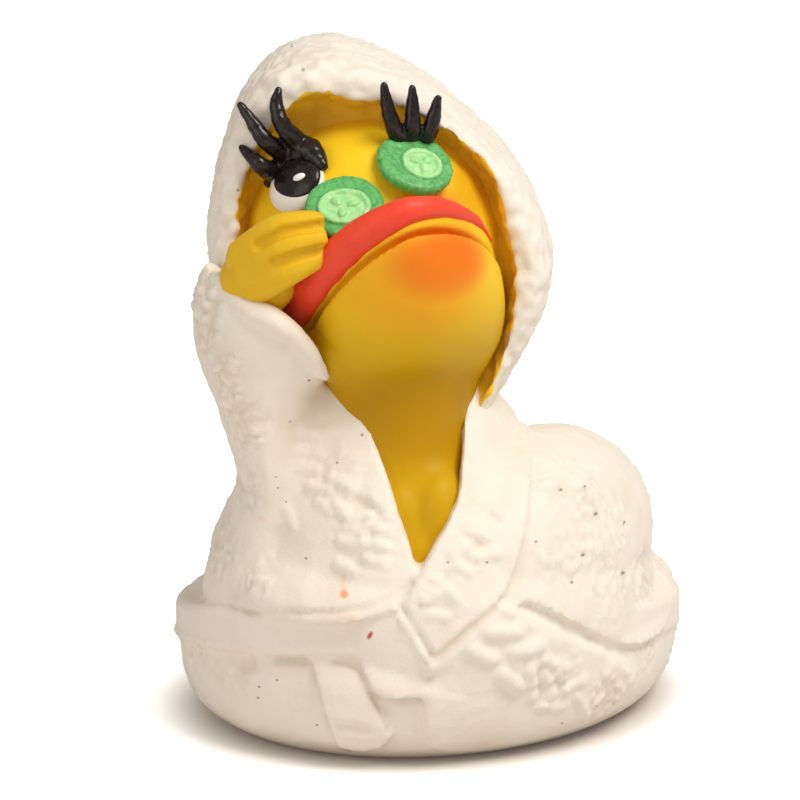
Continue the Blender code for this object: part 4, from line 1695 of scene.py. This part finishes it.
@dataclass
class Bill:
    """The bill, whose mouth line is a broad curve in a plane that tips up and leans left with the head."""

    root: Point = (-3.6, -15.5, 62.0)
    sideways: Point = (1.0, 0.28, 0.266)
    pitch: float = 35.4
    half_width: float = 14.1
    reach: float = 21.9
    side_power: float = 1.15
    tip_power: float = 1.2
    chin_depth: float = 12.0
    chin_steps: int = 17
    chin_sweep: float = 84.0
    chin_fullness: float = 0.8
    chin_setback: float = 6.3
    sides: int = 96
    gap: float = 0.9
    upper_thick: float = 7.0
    lip_lift: float = 3.7
    lip_share: float = 1.01
    lip_rows: tuple[tuple[float, ...], ...] = (
        (185.0, 1.7), (172.0, 2.4), (150.0, 2.7), (125.0, 2.5), (100.0, 2.1), (78.0, 1.8),
        (58.0, 1.3), (38.0, 0.8), (16.0, 0.4),
    )

    def axes(self) -> tuple[Vector, Vector, Vector]:
        """Unit vectors across the bill, forward along it, and up out of its mouth plane.

        Returns:
            The three vectors.
        """
        across = Vector(self.sideways).normalized()
        pitch = math.radians(self.pitch)
        forward = Vector((0, -math.cos(pitch), math.sin(pitch)))
        forward = (forward - across * forward.dot(across)).normalized()
        return across, forward, forward.cross(across)

    def edge(self, angle: float, share: float, lift: float, back: float = 0.0) -> Vector:
        """A point of the bill's broad outline.

        Args:
            angle: Where it lies round the outline, in radians from the right.
            share: Its size, as a share of the outline's.
            lift: How far it is lifted out of the mouth plane.
            back: How far it is set back.

        Returns:
            The point.
        """
        across, forward, up = self.axes()
        side = math.copysign(abs(math.cos(angle)) ** self.side_power, math.cos(angle))
        ahead = math.copysign(abs(math.sin(angle)) ** self.tip_power, math.sin(angle))
        place = Vector(self.root) + across * (self.half_width * share * side)
        return place + forward * (self.reach * share * ahead - back) + up * lift

    def half(self, name: str, rows: Sequence[Sequence[float]]) -> bpy.types.Object:
        """A closed form through copies of the outline, whose rows hold size, lift and setback.

        Args:
            name: The form's name.
            rows: The rows.

        Returns:
            The closed form.
        """
        angles = [math.tau * (i + 0.5) / self.sides for i in range(self.sides)]
        return Clay.loft(name, [[self.edge(angle, *row) for angle in angles] for row in rows])

    def chin(self) -> bpy.types.Object:
        """The lower half, full and round beneath, with a crisp edge at the mouth.

        Returns:
            The closed form.
        """
        rows = []
        for step in range(self.chin_steps):
            part = step / (self.chin_steps - 1)
            angle = math.radians(self.chin_sweep * part)
            share = math.cos(angle) ** self.chin_fullness
            rows.append((share, -self.chin_depth * math.sin(angle), self.chin_setback * part))
        return self.half("chin", rows)

    def upper(self) -> bpy.types.Object:
        """The upper half, from its flat underside to the top that rises into the face.

        Returns:
            The closed form.
        """
        rows = (
            (0.86, -0.6, 0.0),
            (0.9, self.gap, 0.0),
            (0.985, self.gap + 0.15, 0.0),
            (1.0, self.gap + 0.6, 0.0),
            (1.02, self.lip_lift + 0.6, 0.0),
            (0.96, self.upper_thick * 0.75, 0.4),
            (0.8, self.upper_thick, 1.5),
        )
        return self.half("upper", rows)

    def lip(self) -> bpy.types.Object:
        """The red lip, a bar round the upper half that thins towards the right corner.

        Returns:
            The lip.
        """
        angles = [math.radians(angle) for angle, _ in self.lip_rows]
        points = [self.edge(angle, self.lip_share, self.lip_lift) for angle in angles]
        bar = Clay.bar("lip", points, [half for _, half in self.lip_rows])
        lip = Clay.fuse("lip", [bar], 0.26, 3)
        return Clay.sculpt(lip, lambda point, normal: lumps(point, 2.6, 0.16))


@dataclass
class Head:
    """The head ball with its neck and chest, and the places on its surface."""

    centre: Point = (-8.3, -6.0, 69.8)
    radius: float = 18.3
    voxel: float = 0.36
    softening: int = 2
    neck_rows: tuple[tuple[float, ...], ...] = (
        (18.0, -2.0, -6.0, 10.0, 21.0),
        (28.0, -2.0, -6.0, 12.0, 22.6),
        (36.0, -3.5, -8.0, 11.5, 17.8),
        (44.0, -4.6, -10.0, 10.8, 14.0),
        (52.0, -4.7, -10.5, 11.6, 12.6),
        (60.0, -5.0, -11.0, 12.9, 12.0),
        (66.0, -5.0, -11.0, 13.0, 10.0),
    )
    swellings: tuple[Point, ...] = ((-4.4, -21.6, 32.0), (1.0, -21.6, 33.0))
    swelling_half: Point = (4.4, 6.0, 8.5)
    chin_softening: int = 220
    chin_zone: tuple[float, ...] = (38.0, 5.0, 57.5, 4.0)
    chest_zone: tuple[float, ...] = (22.0, 3.0, 44.0, 4.0)
    chest_share: float = 0.2
    cheek: tuple[Stroke, ...] = strokes(5.0, 1.0, (308, 344, 320, 358))

    def under_chin(self, point: Vector) -> float:
        """1 where the chin runs into the neck, a little over the chest, and 0 elsewhere."""
        chest = self.chest_share * between(point.z, *self.chest_zone)
        return max(between(point.z, *self.chin_zone), chest)

    def frame(self, longitude: float, latitude: float) -> Matrix:
        """A matrix on the head ball: z points out, y up towards the crown and x to the right.

        Args:
            longitude: Degrees to the right of the front.
            latitude: Degrees up.

        Returns:
            The matrix.
        """
        lon, lat = math.radians(longitude), math.radians(latitude)
        out = Vector((math.sin(lon) * math.cos(lat), -math.cos(lon) * math.cos(lat), math.sin(lat)))
        up = (Vector((0, 0, 1)) - out * out.z).normalized()
        axes = Matrix((up.cross(out), up, out)).transposed().to_4x4()
        return Matrix.Translation(Vector(self.centre) + out * self.radius) @ axes

    def spot(self, longitude: float, latitude: float, lift: float = 0.0) -> Vector:
        """A point that stands off the head ball by lift."""
        return self.frame(longitude, latitude) @ Vector((0, 0, lift))

    def build(self, bill: Bill) -> list[bpy.types.Object]:
        """Makes the skin of head, bill, neck and chest as one piece, and the lip.

        Args:
            bill: The bill.

        Returns:
            The skin and the lip.
        """
        forms = [
            Clay.ball("head", Vector(self.centre), Vector((self.radius,) * 3), fineness=5),
            Clay.level_loft("neck", self.neck_rows, steps=4),
            bill.chin(),
            bill.upper(),
        ]
        for place in self.swellings:
            forms.append(Clay.ball("swelling", Vector(place), Vector(self.swelling_half)))
        skin = Clay.fuse("face", forms, self.voxel, self.softening)
        Clay.soften(skin, self.under_chin, self.chin_softening)
        Clay.sculpt(skin, lambda point, normal: lumps(point, 6.0, 0.12), self.cheek)
        paint = SkinPaint().material("skin_paint", Clay.tree(skin))
        lip = bill.lip()
        return [
            Clay.finish(skin, paint, "skin_paint"),
            Clay.finish(lip, LIP_RED.material(), "lip_paint"),
        ]


@dataclass
class Eyes:
    """The bare eye, the lids and the lashes of both eyes."""

    place: Spot = (-40.6, 31.8)
    white_half: Point = (4.5, 4.2, 1.6)
    pupil_half: Point = (3.9, 3.3, 1.3)
    pupil_offset: Point = (0.3, 0.6, 0.7)
    light_pixel: Spot = (299.0, 177.0)
    light_half: Point = (1.0, 0.55, 0.28)
    light_tilt: float = 24.0
    voxel: float = 0.2
    lids: tuple[tuple[tuple[float, ...], ...], ...] = (
        ((-60, 30, 0.6, 0.8), (-54, 41, 0.9, 1.5), (-41, 47, 1.2, 2.0), (-27, 41, 0.9, 0.9)),
        ((20, 55, 0.6, 0.8), (33, 57, 0.9, 1.2), (46, 54, 0.6, 0.8)),
    )
    lash_halves: tuple[float, ...] = (1.6, 1.25, 1.0, 0.55)
    lash_rows: tuple[tuple[Point, ...], ...] = (
        ((-44, 48, 0.6), (-20.2, -17.0, 87.4), (-21.2, -16.6, 90.2), (-20.9, -16.2, 92.4)),
        ((-54, 44, 0.4), (-22.6, -16.8, 85.4), (-24.4, -16.2, 87.8), (-26.2, -15.4, 90.2)),
        ((-60, 35, 0.3), (-23.2, -17.4, 82.0), (-24.6, -16.8, 83.2), (-26.0, -16.0, 84.4)),
        ((24, 57, 0.6), (-5.0, -17.0, 87.0), (-6.0, -17.2, 90.2), (-6.5, -17.4, 93.2)),
        ((33, 57, 0.6), (-2.6, -16.6, 87.2), (-2.6, -16.9, 90.0), (-2.6, -17.1, 92.8)),
        ((42, 56, 0.6), (-0.3, -16.0, 86.6), (0.4, -16.4, 89.0), (0.9, -16.8, 91.4)),
    )

    def build(self, head: Head) -> list[bpy.types.Object]:
        """Makes and dresses the eye, the lids and the lashes.

        Args:
            head: The head that they lie on.

        Returns:
            The pieces.
        """
        frame = head.frame(*self.place)
        turn = frame.to_3x3()
        white = Clay.ball("eye_white", frame.translation, Vector(self.white_half), turn, 5)
        pupil = Clay.ball("pupil", frame @ Vector(self.pupil_offset), Vector(self.pupil_half), turn, 5)
        place = VIEW.hit(Clay.tree(pupil), self.light_pixel)
        tilt = turn @ Matrix.Rotation(math.radians(self.light_tilt), 3, "Z")
        light = Clay.ball("eye_light", place, Vector(self.light_half), tilt, 4)
        forms = []
        for rows in self.lids:
            places = [head.spot(*row[:3]) for row in rows]
            forms.append(Clay.bar("lid", places, [row[3] for row in rows]))
        for root, *places in self.lash_rows:
            forms.append(Clay.bar("lash", (head.spot(*root), *places), self.lash_halves))
        lashes = Clay.fuse("lashes", forms, self.voxel, 2)
        Clay.sculpt(lashes, lambda point, normal: lumps(point, 0.9, 0.09))
        black = GLOSS_BLACK.material()
        return [
            Clay.finish(white, EYE_WHITE.material(), "eye_paint"),
            Clay.finish(pupil, black, "lash_paint"),
            Clay.finish(light, EYE_LIGHT.material(), "eye_paint"),
            Clay.finish(lashes, black, "lash_paint"),
        ]


@dataclass
class CucumberSlice:
    """A round slice with a rounded skin, a raised ring of flesh and seeds.

    Attributes:
        name: The piece's name.
        place: Its place on the head ball, as longitude, latitude and lift.
        facing: The way that it faces.
        core_offset: Where the flesh's middle lies from the slice's own.
        core: The flesh's half sizes.
        radius: The slice's radius.
        thick: Its thickness.
        profile: Rings up its side, as shares of half its thickness and of its radius.
        ring_half: Half the thickness of the raised ring round the flesh.
        bed_half: How far the flesh stands up.
        seeds: How many seeds it has.
        seed_half: A seed's half sizes.
        seed_reach: How far out the seeds lie, as a share of the flesh.
        seed_lift: How far they stand up.
        seed_turn: Where the first one lies, as a share of the way to the next.
        voxel: The mesh's face size.
    """

    name: str
    place: Point
    facing: Point
    core_offset: Spot
    core: Spot
    radius: float = 5.4
    thick: float = 1.6
    profile: tuple[Spot, ...] = ((-1.0, 0.94), (-0.6, 1.0), (0.3, 1.0), (0.85, 0.95), (1.0, 0.86))
    ring_half: float = 0.5
    bed_half: float = 0.2
    seeds: int = 3
    seed_half: Point = (0.9, 0.6, 0.5)
    seed_reach: float = 0.42
    seed_lift: float = 0.3
    seed_turn: float = 0.2
    voxel: float = 0.15

    def disc(self, place: Matrix) -> bpy.types.Object:
        """Makes the slice's plain disc.

        Args:
            place: The slice's place and turn.

        Returns:
            The closed form.
        """
        turn = place.to_3x3()
        rings = []
        for level, share in self.profile:
            size = self.radius * share
            middle = place @ Vector((0, 0, self.thick / 2 * level))
            rings.append(ellipse(middle, turn @ Vector((size, 0, 0)), turn @ Vector((0, size, 0)), 48))
        return Clay.loft("disc", rings)

    def flesh(self, middle: Vector, turn: Matrix) -> list[bpy.types.Object]:
        """Makes the raised flesh.

        Args:
            middle: Its middle.
            turn: The slice's turn.

        Returns:
            The ring round it, its bed and the seeds.
        """
        wide, high = self.core
        loop = ellipse(middle, turn @ Vector((wide, 0, 0)), turn @ Vector((0, high, 0)), 24)
        loop.append(loop[0])
        forms = [Clay.bar("ring", loop, [self.ring_half] * len(loop))]
        forms.append(Clay.ball("bed", middle, Vector((wide, high, self.bed_half)), turn))
        for i in range(self.seeds):
            angle = math.tau * (i + self.seed_turn) / self.seeds
            across, along = math.cos(angle) * wide * self.seed_reach, math.sin(angle) * high * self.seed_reach
            spot = middle + turn @ Vector((across, along, self.seed_lift))
            seed_turn = turn @ Matrix.Rotation(angle, 3, "Z")
            forms.append(Clay.ball("seed", spot, Vector(self.seed_half), seed_turn, 3))
        return forms

    def build(self, head: Head) -> list[bpy.types.Object]:
        """Makes the slice and dresses it.

        Args:
            head: The head that it lies on.

        Returns:
            The slice.
        """
        turn = Vector(self.facing).normalized().to_track_quat("Z", "Y").to_matrix()
        place = Matrix.Translation(head.spot(*self.place)) @ turn.to_4x4()
        middle = place @ Vector((*self.core_offset, self.thick / 2))
        made = Clay.fuse(self.name, [self.disc(place), *self.flesh(middle, turn)], self.voxel, 2)
        Clay.sculpt(made, lambda point, normal: lumps(point, 1.2, 0.12) + lumps(point, 0.5, 0.08))
        size = (self.core[0] + self.ring_half, self.core[1] + self.ring_half)
        paint = CucumberPaint().material(self.name + "_paint", middle, turn, size)
        return [Clay.finish(made, paint, "cucumber_paint")]


@dataclass
class Hand:
    """The raised wing's feather fingers, which come out of the cuff."""

    palm_centre: Point = (-23.6, -22.5, 67.2)
    palm_half: Point = (5.6, 5.0, 5.2)
    palm_tip: float = -38.0
    middle_share: float = 0.52
    shaded: TintPatch = TintPatch((300, 285), (6.0, 6.0, 4.0), (0.6, 0.29, 0.008), 0.6)
    fingers: tuple[tuple[Point, Point, Point, float, float], ...] = (
        ((-25.8, -24.5, 70.6), (-20.6, -28.0, 75.2), (-15.6, -28.2, 76.2), 2.5, 1.5),
        ((-25.0, -25.5, 68.6), (-20.2, -29.0, 72.6), (-15.2, -29.0, 74.0), 2.5, 1.5),
        ((-24.0, -25.5, 66.6), (-19.6, -28.6, 69.6), (-15.4, -28.2, 71.4), 2.6, 1.7),
    )
    grooves: tuple[Stroke, ...] = (
        *strokes(1.1, -0.7, (258, 245, 285, 231), (285, 231, 321, 225)),
        *strokes(1.1, -0.7, (274, 262, 296, 255), (296, 255, 318, 249)),
    )

    def build(self) -> list[bpy.types.Object]:
        """Makes the hand and dresses it.

        Returns:
            The hand.
        """
        turn = Matrix.Rotation(math.radians(self.palm_tip), 3, "Y")
        forms = [Clay.ball("palm", Vector(self.palm_centre), Vector(self.palm_half), turn)]
        for root, middle, tip, wide, narrow in self.fingers:
            halves = (wide, (wide + narrow) * self.middle_share, narrow)
            forms.append(Clay.bar("finger", (root, middle, tip), halves))
        hand = Clay.fuse("hand", forms, 0.26, 3)
        Clay.sculpt(hand, lambda point, normal: lumps(point, 4.0, 0.12), self.grooves)
        skin = SkinPaint(yellow=(0.76, 0.46, 0.016), low_from=60.0, low_to=40.0, tints=(self.shaded,))
        paint = skin.material("hand_paint", Clay.tree(hand))
        return [Clay.finish(hand, paint, "skin_paint")]


@dataclass(frozen=True)
class Lamp:
    """A square area lamp that points at the duck's middle.

    Attributes:
        name: The lamp's name.
        place: Where it stands, in metres.
        size: Its side, in metres.
        power: Its power, in watts.
        colour: Its colour.
        aim: The point that it faces.
    """

    name: str
    place: Point
    size: float
    power: float
    colour: Colour
    aim: Point = (0.0, 0.0, 0.05)

    def build(self) -> bpy.types.Object:
        """Makes the lamp.

        Returns:
            The lamp.
        """
        data = bpy.data.lights.new(self.name, "AREA")
        data.size = self.size
        data.energy = self.power
        data.color = self.colour
        made = bpy.data.objects.new(self.name, data)
        bpy.context.scene.collection.objects.link(made)
        made.location = self.place
        made.rotation_euler = (Vector(self.place) - Vector(self.aim)).to_track_quat("Z", "Y").to_euler()
        return made


@dataclass
class Studio:
    """A white floor with a painted contact shadow round the base, and soft lamps."""

    floor_half: float = 3.0
    floor_colour: Colour = (0.82, 0.8, 0.78)
    contact_shadow_colour: Colour = (0.56, 0.5, 0.43)
    floor_glow: Colour = (1.0, 0.97, 0.92)
    near_glow: float = 0.05
    far_glow: float = 0.82
    contact_shadow_reach: float = 7.0
    contact_shadow_fade: float = 0.3
    contact_shadow_height: float = 20.0
    world_colour: Colour = (1.0, 0.985, 0.965)
    world_strength: float = 0.43
    lamps: tuple[Lamp, ...] = (
        Lamp("key_lamp", (0.4, -0.34, 0.74), 0.42, 5.8, (1.0, 0.985, 0.96)),
        Lamp("fill_lamp", (-0.6, -0.6, 0.3), 0.6, 1.5, (1.0, 0.93, 0.84)),
    )

    def floor(self) -> bpy.types.Object:
        """A pale floor that keeps the duck's shadow, is darkened round the base as a painted contact shadow,
        and otherwise shows as white.

        Returns:
            The floor.
        """
        bpy.ops.object.select_all(action="DESELECT")
        bpy.ops.mesh.primitive_plane_add(size=self.floor_half * 2)
        made = bpy.context.object
        made.name = "floor"
        shader = Shader("floor", 0.9, 0.1)
        reach = self.contact_shadow_reach
        half = (EGG.half_width + reach, EGG.half_length + reach, self.contact_shadow_height)
        # Round the base the floor's colour darkens to a painted contact shadow, and its glow fades so that the
        # real shadow shows.
        far = 1.0 - shader.spot(BASE_CENTRE, half, self.contact_shadow_fade, EGG.axes())
        shader.set("Base Color", shader.mix(far, self.contact_shadow_colour, self.floor_colour))
        path = shader.node("ShaderNodeLightPath", {}, {})
        seen = Value(shader, path.outputs["Is Camera Ray"])
        glow = (far * (self.far_glow - self.near_glow) + self.near_glow) * seen
        shader.set("Emission Color", shader.mix(glow, (0.0, 0.0, 0.0), self.floor_glow))
        shader.set("Emission Strength", 1.0)
        made.data.materials.append(shader.material)
        return made

    def world(self) -> None:
        """Soft light from all round, which the camera sees as white."""
        world = bpy.data.worlds.new("studio")
        bpy.context.scene.world = world
        world.use_nodes = True
        tree = world.node_tree
        background = tree.nodes["Background"]
        background.inputs["Color"].default_value = (*self.world_colour, 1.0)
        background.inputs["Strength"].default_value = self.world_strength
        white = tree.nodes.new("ShaderNodeBackground")
        white.inputs["Color"].default_value = (1.0, 1.0, 1.0, 1.0)
        path = tree.nodes.new("ShaderNodeLightPath")
        seen = tree.nodes.new("ShaderNodeMath")
        seen.operation = "MAXIMUM"
        tree.links.new(path.outputs["Is Camera Ray"], seen.inputs[0])
        tree.links.new(path.outputs["Is Transmission Ray"], seen.inputs[1])
        both = tree.nodes.new("ShaderNodeMixShader")
        tree.links.new(seen.outputs[0], both.inputs["Fac"])
        tree.links.new(background.outputs[0], both.inputs[1])
        tree.links.new(white.outputs[0], both.inputs[2])
        tree.links.new(both.outputs[0], tree.nodes["World Output"].inputs["Surface"])

    def build(self) -> None:
        """Sets up the floor, the light and the camera."""
        self.floor()
        self.world()
        for lamp in self.lamps:
            lamp.build()
        VIEW.camera()
        bpy.context.scene.view_settings.view_transform = "Standard"


SLICES = (
    CucumberSlice("cucumber_held", (-11.1, 22.4, 1.6), (-0.05, -0.63, 0.76), (0.1, -0.6), (3.3, 2.8)),
    CucumberSlice("cucumber_lying", (24.9, 41.9, 0.8), (0.28, -0.55, 0.79), (0.5, -0.9), (2.5, 2.5)),
)


def main() -> None:
    """Builds the duck and its studio in order."""
    logging.basicConfig(level=logging.INFO, format="%(name)s %(message)s")
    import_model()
    head = Head()
    Robe().build()
    Hood().build()
    head.build(Bill())
    Eyes().build(head)
    for piece in SLICES:
        piece.build(head)
    Hand().build()
    Studio().build()


if __name__ == "__main__":
    main()
